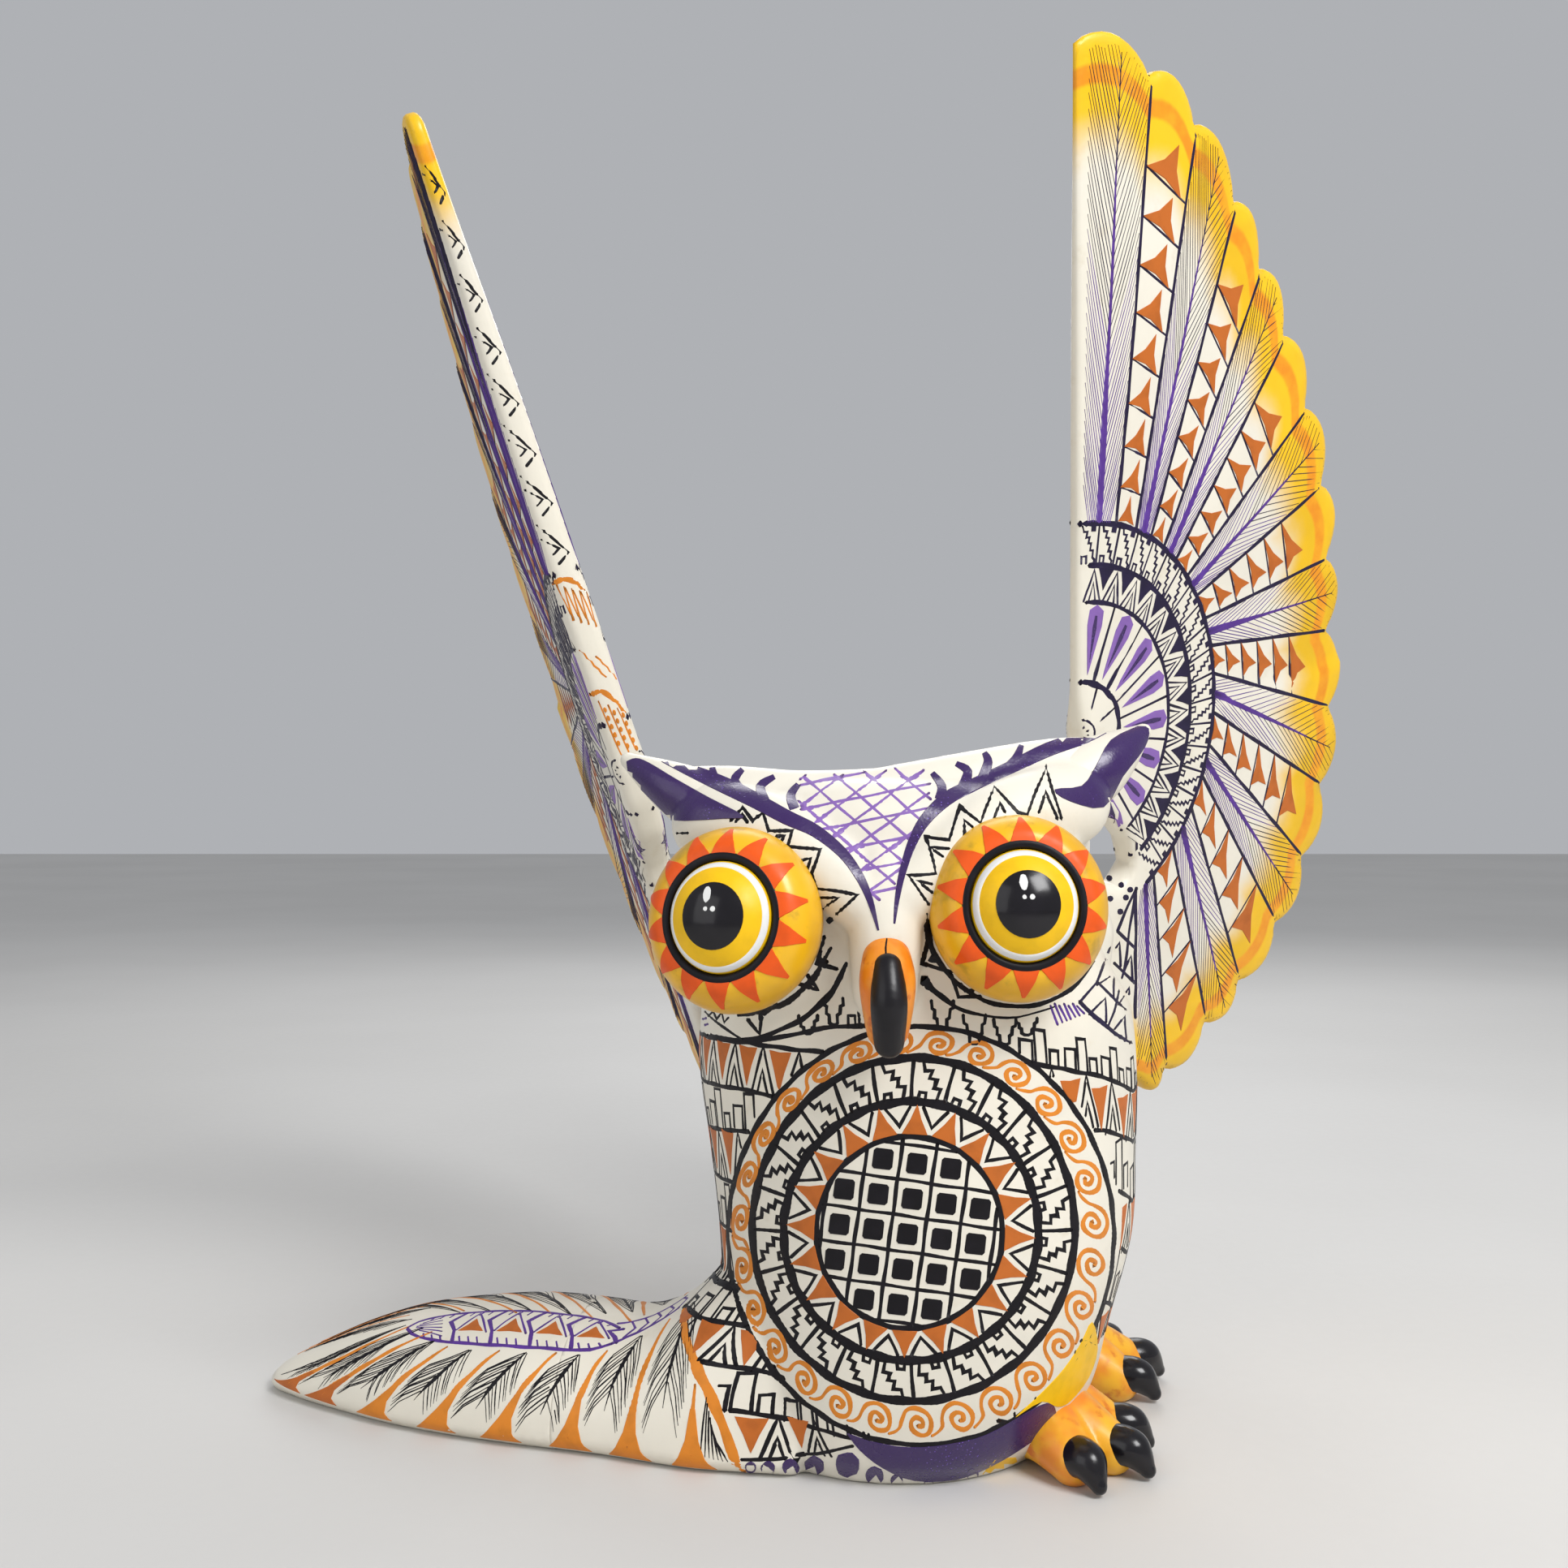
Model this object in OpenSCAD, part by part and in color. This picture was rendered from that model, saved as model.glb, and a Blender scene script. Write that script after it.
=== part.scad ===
// Carved and painted wooden owl with two raised fan wings.
// Units: mm. +Z is up, -Y is the way the face looks, +X is the side of the feet.
// The origin is on the table under the middle of the trunk.

/* [Trunk] */
// Width of the trunk across the shoulders
trunk_w = 95; // [90:1:100]
// Height of the head top above the table
head_top = 143.5; // [140:0.5:148]

/* [Wings] */
// Thickness of a wing board
wing_t = 8; // [7:0.5:9]
// Thickness of the tenon under a wing
tenon_t = 5; // [4:0.5:5.5]
// Length of the tenon under a wing
tenon_len = 22; // [16:1:24]
// Gap all round a tenon and its board so the wing lifts out
wing_gap = 0.3; // [0.3:0.05:0.5]

/* [Eyes] */
// Outer diameter of an eye ring
eye_ring_d = 36; // [33:0.5:37]
// Diameter of the eye insert inside the ring
eye_dome_d = 21.2; // [19:0.2:23]

/* [Dowels] */
// Diameter of the hidden dowels in the tail and the feet
dowel_d = 6; // [4:0.5:6]

/* [Hidden] */

cream = "ivory";
// Thickness of the flat disc a hulled root starts from
root_disc = 0.5;
// More room than any foot needs
room = 100;
ring_seg = 40;
neck_z = 93;
carved_w = 95;
carved_top = 143.5;
trunk_scale = trunk_w / carved_w;
head_scale = (head_top - neck_z) / (carved_top - neck_z);

// Trunk sections: height, centre x, centre y, half width, half depth
trunk_sections = [
  [0, -3, 4, 33, 32],
  [5, -2, 4, 37, 35.5],
  [14, 0, 4, 40, 39],
  [26, 1.5, 4, 41.5, 41.5],
  [45, 3.5, 4, 44.5, 43],
  [62, 3, 5, 46, 44],
  [80, 2, 6, 47.5, 44],
  [93, 1.5, 6, 47, 43],
  [102, -1, 4, 45, 41],
  [110, -3, 0, 44, 40],
  [120, -4, -3, 45, 39],
  [130, -5, -4, 46, 38],
  [137, -5, -4, 44, 35],
  [141.5, -5, -3, 38, 29],
  [143.5, -5, -2, 30, 21],
];

// Low and high end of the swelling behind each wing root
left_shoulder = [[30, 30, 82], [36, 27, 105]];
left_shoulder_r = 18;
right_shoulder = [[-30, 27, 78], [-33, 24, 99]];
right_shoulder_r = 17;
shoulder_taper = 4;

// Tail sections: distance along the tail, half width, height
tail_sections = [
  [-22, 27, 52],
  [-8, 28.5, 44],
  [0, 28.6, 37],
  [8, 27.8, 28.5],
  [18, 26.2, 24],
  [31, 25, 24.3],
  [44, 24.2, 24.5],
  [58, 22.6, 23],
  [72, 19.8, 20.5],
  [84, 16, 16.5],
  [94, 12.5, 12],
  [101, 9.5, 8.5],
  [106, 6, 5.5],
  [108.5, 3, 3.6],
];
tail_root = [-40, 5, 0];
tail_turn = 166.7;
// Distance along the tail where its own block starts
tail_seam = 31;
// Height of the upright edge round the tail, and its rounding under the edge
rim_lift = 2.5;
rim_under = 3;
tail_dowel_len = 30;
tail_dowel_side = 12;
tail_dowel_z = 10;

// Wing fan: angle from the leading edge, radius, at the notches between feathers
feather_notches = [
  [8.5, 140.4], [15.1, 133.7], [23.1, 122.6], [30.2, 113.4], [38.7, 105.9], [49, 99.5],
  [60.8, 94.4], [72.3, 90], [84.4, 87.5], [97.7, 89.8], [110.8, 93], [122.7, 95.9],
  [133.7, 98.3], [144.6, 98.5], [153.3, 98.6], [162.9, 100.7],
];
wing_tip = [0, 145];
wing_heel = [168, 99];
feather_bulge = 4.5;
// Curl under the leading edge, from the root up to the pivot of the fan
wing_curl = [[5, -38], [13, -41], [17, -37], [15, -30], [11, -25], [5, -18], [1.5, -9]];
// Corner between the last feather and the root
wing_armpit = [11, -88];
// Root of a wing, measured along the pull direction and across it
pull_angle = 46.5;
root_floor = -44.3;
root_side = 23.3;
root_back = 50;
root_top = -33;
tenon_side = 25;
tenon_w = 15;
// The mortise is open past the trunk, so the board can slide in
mortise_top = -4;
mortise_back = 95;

left_wing_at = [39.2, 22, 152];
left_wing_turn = [13.3, 36.7];
right_wing_at = [-62, 24, 143.5];
right_wing_turn = [-20.1, 101.8];
wing_roll = 13.5;

left_eye_at = [17.4, -41.5, 116.3];
left_eye_yaw = 5;
right_eye_at = [-36.4, -40.5, 114];
right_eye_yaw = -23;
eye_tilt = 8;
// How far a ring stands out in front of its place, and its whole depth
eye_ring_t = 7;
eye_ring_depth = 14;
eye_rim = 3;
eye_rim_in = 2.2;
dome_rise = 5.5;
dome_depth = 5;

// ---- helpers -------------------------------------------------------------

function flat(rings) = [for (r = rings) each r];

// Closed solid through a list of rings with equal numbers of points
module loft(rings) {
  n = len(rings[0]);
  m = len(rings);
  sides = [for (k = [0:m - 2], i = [0:n - 1])
    let (a = k * n + i, b = k * n + (i + 1) % n)
    each [[a, a + n, b + n], [a, b + n, b]]];
  caps = [[for (i = [0:n - 1]) i], [for (i = [n - 1:-1:0]) (m - 1) * n + i]];
  polyhedron(flat(rings), concat(sides, caps), convexity = 6);
}

function polar(angle, radius) = [radius * sin(angle), radius * cos(angle)];

// Point given along and across the pull direction of a wing
function root_point(along, across) = [
  along * cos(pull_angle) + across * sin(pull_angle),
  along * sin(pull_angle) - across * cos(pull_angle)];

// Lays the wing plane at its place on the trunk
module place_wing(at, turn) {
  translate(at) rotate([0, 0, turn[1]]) rotate([90 + turn[0], 0, 0]) rotate([0, 0, wing_roll]) children();
}

module place_left_wing() {
  place_wing(left_wing_at, left_wing_turn) children();
}

module place_right_wing() {
  place_wing(right_wing_at, right_wing_turn) children();
}

// Turns +Z to the way an eye looks, with the seat of the ring at the origin
module place_eye(at, yaw) {
  translate(at) rotate([0, 0, yaw]) rotate([90 - eye_tilt, 0, 0]) children();
}

// Lays the tail axis from the root along local +X
module place_tail() {
  translate(tail_root) rotate([0, 0, tail_turn]) children();
}

// Turns +Z to the direction of a vector
module aim(way) {
  rotate([0, acos(way[2] / norm(way)), atan2(way[1], way[0])]) children();
}

// Pebble shape round a list of balls
module lump(points, radii) {
  hull() for (i = [0:len(points) - 1]) translate(points[i]) sphere(radii[i], $fn = 20);
}

// ---- trunk ---------------------------------------------------------------

// Only the part above the neck stretches with the height of the head
function trunk_z(z) = z > neck_z ? neck_z + (z - neck_z) * head_scale : z;

function trunk_ring(s) = [for (i = [0:ring_seg - 1])
  let (a = 360 * i / ring_seg)
  [s[1] + s[3] * trunk_scale * cos(a), s[2] + s[4] * sin(a), trunk_z(s[0])]];

function tail_ring(s) = [for (i = [0:ring_seg / 2])
  let (a = 180 * i / (ring_seg / 2), lift = s[2] > 2 * rim_lift ? rim_lift : s[2] / 3)
  [s[0], s[1] * cos(a), lift + (s[2] - lift) * pow(sin(a), 0.8)],
  [s[0], -s[1] + min(rim_under, s[1] / 3), 0], [s[0], s[1] - min(rim_under, s[1] / 3), 0]];

// Swelling of the trunk that holds one wing root
module shoulder(ends, r) {
  hull() {
    translate(ends[0]) sphere(r, $fn = 24);
    translate(ends[1]) sphere(r - shoulder_taper, $fn = 24);
  }
}

module trunk_blank() {
  loft([for (s = trunk_sections) trunk_ring(s)]);
  place_tail() loft([for (s = tail_sections) if (s[0] <= tail_seam) tail_ring(s)]);
  shoulder(left_shoulder, left_shoulder_r);
  shoulder(right_shoulder, right_shoulder_r);
}

// Room in the trunk for a wing root and its tenon
module wing_mortise() {
  translate([0, 0, -wing_t / 2 - wing_gap]) linear_extrude(wing_t + 2 * wing_gap)
    polygon([
      root_point(root_floor - wing_gap, root_side - wing_gap),
      root_point(root_floor - wing_gap, mortise_back),
      root_point(mortise_top, mortise_back),
      root_point(mortise_top, root_side - wing_gap)]);
  translate([0, 0, -tenon_t / 2 - wing_gap]) linear_extrude(tenon_t + 2 * wing_gap)
    polygon([
      root_point(root_floor - tenon_len - 1, tenon_side - wing_gap),
      root_point(root_floor - tenon_len - 1, tenon_side + tenon_w + wing_gap),
      root_point(root_floor, tenon_side + tenon_w + wing_gap),
      root_point(root_floor, tenon_side - wing_gap)]);
}

module trunk() {
  color(cream) difference() {
    trunk_blank();
    place_left_wing() wing_mortise();
    place_right_wing() wing_mortise();
    place_eye(left_eye_at, left_eye_yaw) eye_seat();
    place_eye(right_eye_at, right_eye_yaw) eye_seat();
    beak_blank();
    ear_root(left_ear_points, left_ear_radii);
    ear_root(right_ear_points, right_ear_radii);
    ear_peg_blank(left_ear_points);
    ear_peg_blank(right_ear_points);
    tail_dowel_at(-1) tail_dowel_blank();
    tail_dowel_at(1) tail_dowel_blank();
    near_foot_blank();
    far_foot_blank();
    near_foot_dowel_blank();
    far_foot_dowel_blank();
  }
}

// ---- tail ----------------------------------------------------------------

module tail_dowel_blank() {
  cylinder(d = dowel_d, h = tail_dowel_len, center = true, $fn = 48);
}

// Dowel axes lie along the tail, across the seam
module tail_dowel_at(side) {
  place_tail() translate([tail_seam, tail_dowel_side * side, tail_dowel_z]) rotate([0, 90, 0]) children();
}

module tail() {
  color(cream) difference() {
    place_tail() loft([for (s = tail_sections) if (s[0] >= tail_seam) tail_ring(s)]);
    tail_dowel_at(-1) tail_dowel_blank();
    tail_dowel_at(1) tail_dowel_blank();
  }
}

module tail_dowel_near() {
  color("tan") tail_dowel_at(1) tail_dowel_blank();
}

module tail_dowel_far() {
  color("tan") tail_dowel_at(-1) tail_dowel_blank();
}

// ---- wings ---------------------------------------------------------------

// Rounded tip of one feather between two notches of the fan
function feather_tip(a, b, bulge) = [for (t = [0:0.2:0.8])
  polar(a[0] + (b[0] - a[0]) * t, a[1] + (b[1] - a[1]) * t + bulge * sin(180 * t))];

fan_stops = concat([wing_tip], feather_notches, [wing_heel]);

function fan_outline() = [for (i = [0:len(fan_stops) - 2])
  each feather_tip(fan_stops[i], fan_stops[i + 1], feather_bulge)];

module wing_board() {
  translate([0, 0, -wing_t / 2]) linear_extrude(wing_t) polygon(concat(
    [[0, 0]],
    fan_outline(),
    [polar(wing_heel[0], wing_heel[1]), wing_armpit, root_point(root_floor, root_back),
      root_point(root_floor, root_side), root_point(root_top, root_side)],
    wing_curl));
  translate([0, 0, -tenon_t / 2]) linear_extrude(tenon_t) polygon([
    root_point(root_floor - tenon_len, tenon_side),
    root_point(root_floor - tenon_len, tenon_side + tenon_w),
    root_point(root_floor + 1, tenon_side + tenon_w),
    root_point(root_floor + 1, tenon_side)]);
}

module left_wing() {
  color(cream) place_left_wing() wing_board();
}

module right_wing() {
  color(cream) place_right_wing() wing_board();
}

// ---- ears ----------------------------------------------------------------

// Root, middle and tip of each ear, and its radius there
left_ear_points = [[26, -13.5, 136.5], [38.2, -12.5, 143.4], [48, -9.5, 150.6]];
left_ear_radii = [10, 8.1, 2.3];
right_ear_points = [[-36, -19.5, 132.5], [-49, -18.5, 138.8], [-58.3, -14.5, 144.2]];
right_ear_radii = [9.5, 6.6, 2.3];
ear_peg_d = 4;
ear_peg_len = 20;

// Inner half of an ear: a flat round root widening from the middle
module ear_root(points, radii) {
  hull() {
    translate(points[0]) aim(points[1] - points[0]) cylinder(r = radii[0], h = root_disc, $fn = 32);
    translate(points[1]) sphere(radii[1], $fn = 20);
  }
}

module ear_peg_blank(points) {
  translate(points[0]) aim(points[1] - points[0])
    cylinder(d = ear_peg_d, h = ear_peg_len, center = true, $fn = 32);
}

module ear(points, radii) {
  difference() {
    union() {
      ear_root(points, radii);
      lump([points[1], points[2]], [radii[1], radii[2]]);
    }
    ear_peg_blank(points);
  }
}

module left_ear() {
  color("indigo") ear(left_ear_points, left_ear_radii);
}

module right_ear() {
  color("indigo") ear(right_ear_points, right_ear_radii);
}

module left_ear_peg() {
  color("tan") ear_peg_blank(left_ear_points);
}

module right_ear_peg() {
  color("tan") ear_peg_blank(right_ear_points);
}

// ---- eyes ----------------------------------------------------------------

module eye_seat() {
  translate([0, 0, eye_ring_t - eye_ring_depth]) cylinder(d = eye_ring_d, h = 2 * eye_ring_depth, $fn = 96);
}

// Turned ring with a rounded rim, open in the middle for the insert
module eye_ring() {
  r = eye_ring_d / 2;
  difference() {
    union() {
      translate([0, 0, eye_ring_t - eye_ring_depth]) cylinder(r = r, h = eye_ring_depth - eye_rim, $fn = 96);
      translate([0, 0, eye_ring_t - eye_rim]) cylinder(r1 = r, r2 = r - eye_rim_in, h = eye_rim, $fn = 96);
    }
    translate([0, 0, eye_ring_t - dome_depth]) cylinder(d = eye_dome_d, h = dome_depth + 1, $fn = 96);
  }
}

// Turned insert with a domed front
module eye_dome() {
  r = eye_dome_d / 2;
  ball_r = (r * r + dome_rise * dome_rise) / (2 * dome_rise);
  translate([0, 0, eye_ring_t - dome_depth]) cylinder(r = r, h = dome_depth, $fn = 96);
  translate([0, 0, eye_ring_t]) intersection() {
    translate([0, 0, dome_rise - ball_r]) sphere(ball_r, $fn = 96);
    cylinder(r = r, h = dome_rise + 1, $fn = 96);
  }
}

module left_eye_ring() {
  color("gold") place_eye(left_eye_at, left_eye_yaw) eye_ring();
}

module right_eye_ring() {
  color("gold") place_eye(right_eye_at, right_eye_yaw) eye_ring();
}

module left_eye_dome() {
  color("black") place_eye(left_eye_at, left_eye_yaw) eye_dome();
}

module right_eye_dome() {
  color("black") place_eye(right_eye_at, right_eye_yaw) eye_dome();
}

// ---- beak ----------------------------------------------------------------

beak_points = [[-7.5, -41, 108], [-7.5, -45, 100], [-7.3, -41, 93]];
beak_radii = [5, 6.2, 4.6];
beak_tip_points = [[-7.5, -48.5, 104], [-7.5, -51, 98], [-7.3, -46.5, 90.5]];
beak_tip_radii = [2.8, 3.6, 2.4];

module beak_blank() {
  lump(beak_points, beak_radii);
}

module beak_tip_blank() {
  lump(beak_tip_points, beak_tip_radii);
}

module beak_surround() {
  color("orange") difference() {
    beak_blank();
    beak_tip_blank();
  }
}

module beak_tip() {
  color("black") difference() {
    beak_tip_blank();
    trunk_front();
  }
}

// The part of the trunk loft just behind the beak
module trunk_front() {
  loft([for (s = trunk_sections) if (s[0] >= 80 && s[0] <= 120) trunk_ring(s)]);
}

// ---- feet ----------------------------------------------------------------

near_toes = [[31, -26, 5], [39.5, -20.5, 5], [41, -9.5, 5]];
far_toes = [[49, 20, 5], [53, 31, 5], [48, 41, 5]];
near_ankle = [21, -7, 9];
far_ankle = [31, 26, 9];
near_foot_yaw = -35;
far_foot_yaw = 14;
toe_r = 5.5;
ankle_r = 12;
// Claw: distance out from the toe, height and radius, at its root and its tip
claw_root = [2.4, 5.4, 4.8];
claw_tip = [8.5, 2.4, 2.1];
foot_dowel_len = 22;
foot_dowel_z = 8;

// Keeps what is above the table
module above_table() {
  intersection() {
    children();
    translate([0, 0, room / 2]) cube([2 * room, 2 * room, room], center = true);
  }
}

// Wedge from a flat round root out to three toes
module foot_blank(ankle, yaw, toes) {
  above_table() hull() {
    translate(ankle) rotate([0, 0, yaw]) rotate([0, 90, 0]) cylinder(r = ankle_r, h = root_disc, $fn = 32);
    for (toe = toes) translate(toe) sphere(toe_r, $fn = 20);
  }
}

module near_foot_blank() {
  foot_blank(near_ankle, near_foot_yaw, near_toes);
}

module far_foot_blank() {
  foot_blank(far_ankle, far_foot_yaw, far_toes);
}

// Claw that starts in the toe and drops to the table outside it
module claw_blank(ankle, toe) {
  way = (toe - ankle) / norm([toe[0] - ankle[0], toe[1] - ankle[1]]);
  root = [toe[0] + way[0] * claw_root[0], toe[1] + way[1] * claw_root[0], claw_root[1]];
  tip = [toe[0] + way[0] * claw_tip[0], toe[1] + way[1] * claw_tip[0], claw_tip[1]];
  above_table() lump([root, tip], [claw_root[2], claw_tip[2]]);
}

module foot_dowel_blank(ankle, yaw) {
  translate([ankle[0], ankle[1], foot_dowel_z]) rotate([0, 0, yaw]) rotate([0, 90, 0])
    cylinder(d = dowel_d, h = foot_dowel_len, center = true, $fn = 48);
}

module near_foot_dowel_blank() {
  foot_dowel_blank(near_ankle, near_foot_yaw);
}

module far_foot_dowel_blank() {
  foot_dowel_blank(far_ankle, far_foot_yaw);
}

module near_foot() {
  color("orange") difference() {
    near_foot_blank();
    for (toe = near_toes) claw_blank(near_ankle, toe);
    near_foot_dowel_blank();
  }
}

module far_foot() {
  color("orange") difference() {
    far_foot_blank();
    for (toe = far_toes) claw_blank(far_ankle, toe);
    far_foot_dowel_blank();
  }
}

module near_foot_dowel() {
  color("tan") near_foot_dowel_blank();
}

module far_foot_dowel() {
  color("tan") far_foot_dowel_blank();
}

module near_foot_front_claw() {
  color("black") claw_blank(near_ankle, near_toes[0]);
}

module near_foot_middle_claw() {
  color("black") claw_blank(near_ankle, near_toes[1]);
}

module near_foot_back_claw() {
  color("black") claw_blank(near_ankle, near_toes[2]);
}

module far_foot_front_claw() {
  color("black") claw_blank(far_ankle, far_toes[0]);
}

module far_foot_middle_claw() {
  color("black") claw_blank(far_ankle, far_toes[1]);
}

module far_foot_back_claw() {
  color("black") claw_blank(far_ankle, far_toes[2]);
}

// ---- assembly ------------------------------------------------------------

trunk();
tail();
tail_dowel_near();
tail_dowel_far();
left_wing();
right_wing();
left_ear();
right_ear();
left_ear_peg();
right_ear_peg();
left_eye_ring();
right_eye_ring();
left_eye_dome();
right_eye_dome();
beak_surround();
beak_tip();
near_foot();
near_foot_dowel();
near_foot_front_claw();
near_foot_middle_claw();
near_foot_back_claw();
far_foot();
far_foot_dowel();
far_foot_front_claw();
far_foot_middle_claw();
far_foot_back_claw();
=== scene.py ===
"""Carved and painted wooden owl with raised fan wings.

The wooden pieces are organic meshes. The painted lines are thin beads of paint laid on them, one object per
colour and piece. Lengths are in millimetres until a mesh is made.
"""
import itertools
import math
import random

import bmesh
import bpy
import numpy as np
from mathutils import Matrix, Vector, geometry
from mathutils.bvhtree import BVHTree


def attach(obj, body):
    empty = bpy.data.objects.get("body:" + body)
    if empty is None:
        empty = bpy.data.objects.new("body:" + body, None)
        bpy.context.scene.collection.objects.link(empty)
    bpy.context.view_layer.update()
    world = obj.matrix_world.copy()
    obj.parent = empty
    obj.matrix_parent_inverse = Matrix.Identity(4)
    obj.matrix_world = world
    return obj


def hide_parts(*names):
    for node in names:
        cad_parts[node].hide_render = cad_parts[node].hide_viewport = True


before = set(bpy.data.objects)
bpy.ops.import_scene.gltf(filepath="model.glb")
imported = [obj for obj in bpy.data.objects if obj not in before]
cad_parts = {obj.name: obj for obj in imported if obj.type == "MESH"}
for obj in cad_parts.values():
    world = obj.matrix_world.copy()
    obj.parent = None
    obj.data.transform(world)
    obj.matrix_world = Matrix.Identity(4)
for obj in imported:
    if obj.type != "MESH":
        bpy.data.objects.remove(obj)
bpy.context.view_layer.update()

MM = 0.001
PAINT_RISE = 0.09      # how far a bead of paint stands over the wood
PAINT_SINK = 0.06      # how far its edges dip under the surface
PATCH_EXTRA = 0.03     # how much thicker a patch is than a line

# Colours of the paints, linear
CREAM = (0.80, 0.755, 0.645)
CREAM_STAIN = (0.72, 0.66, 0.53)
BLACK = (0.006, 0.005, 0.007)
NAVY = (0.012, 0.007, 0.032)
VIOLET = (0.035, 0.012, 0.095)
PURPLE = (0.085, 0.030, 0.23)
LILAC = (0.24, 0.125, 0.42)
ORANGE = (0.52, 0.135, 0.018)
VERMILION = (0.80, 0.095, 0.006)
GOLD = (0.72, 0.235, 0.02)
ARC_GOLD = (0.80, 0.27, 0.004)
ARC_GOLD_BRIGHT = (0.86, 0.36, 0.006)
YELLOW = (0.90, 0.53, 0.004)
WHITE = (0.80, 0.80, 0.78)

# Where the camera stands and how many degrees it sees
CAMERA_AT = Vector((-27, -363, 140))
CAMERA_ANGLE = 50


# ---- small helpers ---------------------------------------------------------

def smoothstep(a, b, x):
    t = min(1.0, max(0.0, (x - a) / (b - a)))
    return t * t * (3 - 2 * t)


def table(stops, x):
    """Value at x of a smooth curve through (x, value) stops."""
    xs = [s[0] for s in stops]
    if x <= xs[0]:
        return stops[0][1]
    if x >= xs[-1]:
        return stops[-1][1]
    i = max(j for j in range(len(xs) - 1) if xs[j] <= x)
    y = [s[1] for s in stops]
    h = xs[i + 1] - xs[i]
    t = (x - xs[i]) / h
    slope = lambda j: 0 if j in (0, len(xs) - 1) else (y[j + 1] - y[j - 1]) / (xs[j + 1] - xs[j - 1])
    m0, m1 = slope(i) * h, slope(i + 1) * h
    return ((2 * t**3 - 3 * t**2 + 1) * y[i] + (t**3 - 2 * t**2 + t) * m0
            + (3 * t**2 - 2 * t**3) * y[i + 1] + (t**3 - t**2) * m1)


def mesh_object(name, verts, faces, material, body, smooth=True):
    """A piece from vertices in millimetres."""
    mesh = bpy.data.meshes.new(name)
    mesh.from_pydata([Vector(v) * MM for v in verts], [], faces)
    mesh.validate()
    obj = bpy.data.objects.new(name, mesh)
    bpy.context.collection.objects.link(obj)
    for m in material if isinstance(material, list) else [material]:
        mesh.materials.append(m)
    mesh.polygons.foreach_set("use_smooth", [smooth] * len(mesh.polygons))
    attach(obj, body)
    return obj


def loft(rings):
    """Vertices and faces of a closed solid through rings with equal numbers of points."""
    n = len(rings[0])
    verts = [p for r in rings for p in r]
    faces = [(k * n + i, k * n + (i + 1) % n, (k + 1) * n + (i + 1) % n, (k + 1) * n + i)
             for k in range(len(rings) - 1) for i in range(n)]
    faces.append(tuple(reversed(range(n))))
    faces.append(tuple((len(rings) - 1) * n + i for i in range(n)))
    return verts, faces


def round_turn(count):
    """Angles spread evenly over a full turn."""
    return [2 * math.pi * i / count for i in range(count)]


def square_to(way):
    """A direction square to a direction."""
    side = way.cross(Vector((0, 0, 1)))
    if side.length < 0.1:
        side = way.cross(Vector((0, 1, 0)))
    return side.normalized()


def horn(points, radii, segments=24, steps=8, squash=1.0):
    """Rod with rounded ends along a smooth line through points."""
    last = len(points) - 1
    tracks = [[(k, p[axis]) for k, p in enumerate(points)] for axis in range(3)]
    at = lambda t: Vector([table(track, t) for track in tracks])
    size = lambda t: table(list(enumerate(radii)), t)
    start = (at(0.01) - at(0)).normalized()
    end = (at(last) - at(last - 0.01)).normalized()
    caps = [math.radians(a) for a in (80, 60, 40, 20)]
    spine = [(at(0) - start * size(0) * math.sin(c), size(0) * math.cos(c)) for c in caps]
    spine += [(at(t), size(t)) for t in (last * i / (steps * last) for i in range(steps * last + 1))]
    spine += [(at(last) + end * size(last) * math.sin(c), size(last) * math.cos(c)) for c in reversed(caps)]
    # each ring keeps the heading of the one before, so the skin doesn't twist
    a = square_to(start)
    rings = []
    for i, (p, r) in enumerate(spine):
        way = spine[min(i + 1, len(spine) - 1)][0] - spine[max(i - 1, 0)][0]
        way.normalize()
        a = (a - way * a.dot(way)).normalized()
        b = a.cross(way)
        rings.append([p + a * r * math.cos(q) + b * r * squash * math.sin(q) for q in round_turn(segments)])
    return loft(rings)


def ball(centre, radii, segments=32, rings=20):
    """Egg shape with three radii."""
    rx, ry, rz = radii
    rows = []
    for k in range(1, rings):
        lat = math.pi * k / rings - math.pi / 2
        wide, deep, high = rx * math.cos(lat), ry * math.cos(lat), rz * math.sin(lat)
        rows.append([Vector(centre) + Vector((wide * math.cos(q), deep * math.sin(q), high))
                     for q in round_turn(segments)])
    return loft(rows)


def join_shapes(shapes):
    verts, faces = [], []
    for v, f in shapes:
        base = len(verts)
        verts += [Vector(p) for p in v]
        faces += [tuple(i + base for i in face) for face in f]
    return verts, faces


def carved(name, shapes, voxel, smoothing, cutters=(), floor=None, material=None, body="figure"):
    """Shapes fused into one skin, smoothed as by carving and sanding, then cut by the cutters."""
    verts, faces = join_shapes(shapes)
    obj = mesh_object(name, verts, faces, material, body)
    remesh = obj.modifiers.new("fuse", "REMESH")
    remesh.mode = "VOXEL"
    remesh.voxel_size = voxel * MM
    smooth = obj.modifiers.new("sand", "SMOOTH")
    smooth.iterations = smoothing
    smooth.factor = 0.5
    apply_modifiers(obj)
    if floor is not None:
        press_flat(obj, floor)
    for cutter in cutters:
        cut = obj.modifiers.new("cut", "BOOLEAN")
        cut.object = cutter
        cut.solver = "EXACT"
        apply_modifiers(obj)
    for cutter in cutters:
        bpy.data.objects.remove(cutter)
    obj.data.polygons.foreach_set("use_smooth", [True] * len(obj.data.polygons))
    return obj


def apply_modifiers(obj):
    depsgraph = bpy.context.evaluated_depsgraph_get()
    made = bpy.data.meshes.new_from_object(obj.evaluated_get(depsgraph))
    obj.modifiers.clear()
    old = obj.data
    obj.data = made
    made.name = obj.name
    bpy.data.meshes.remove(old)


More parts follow.
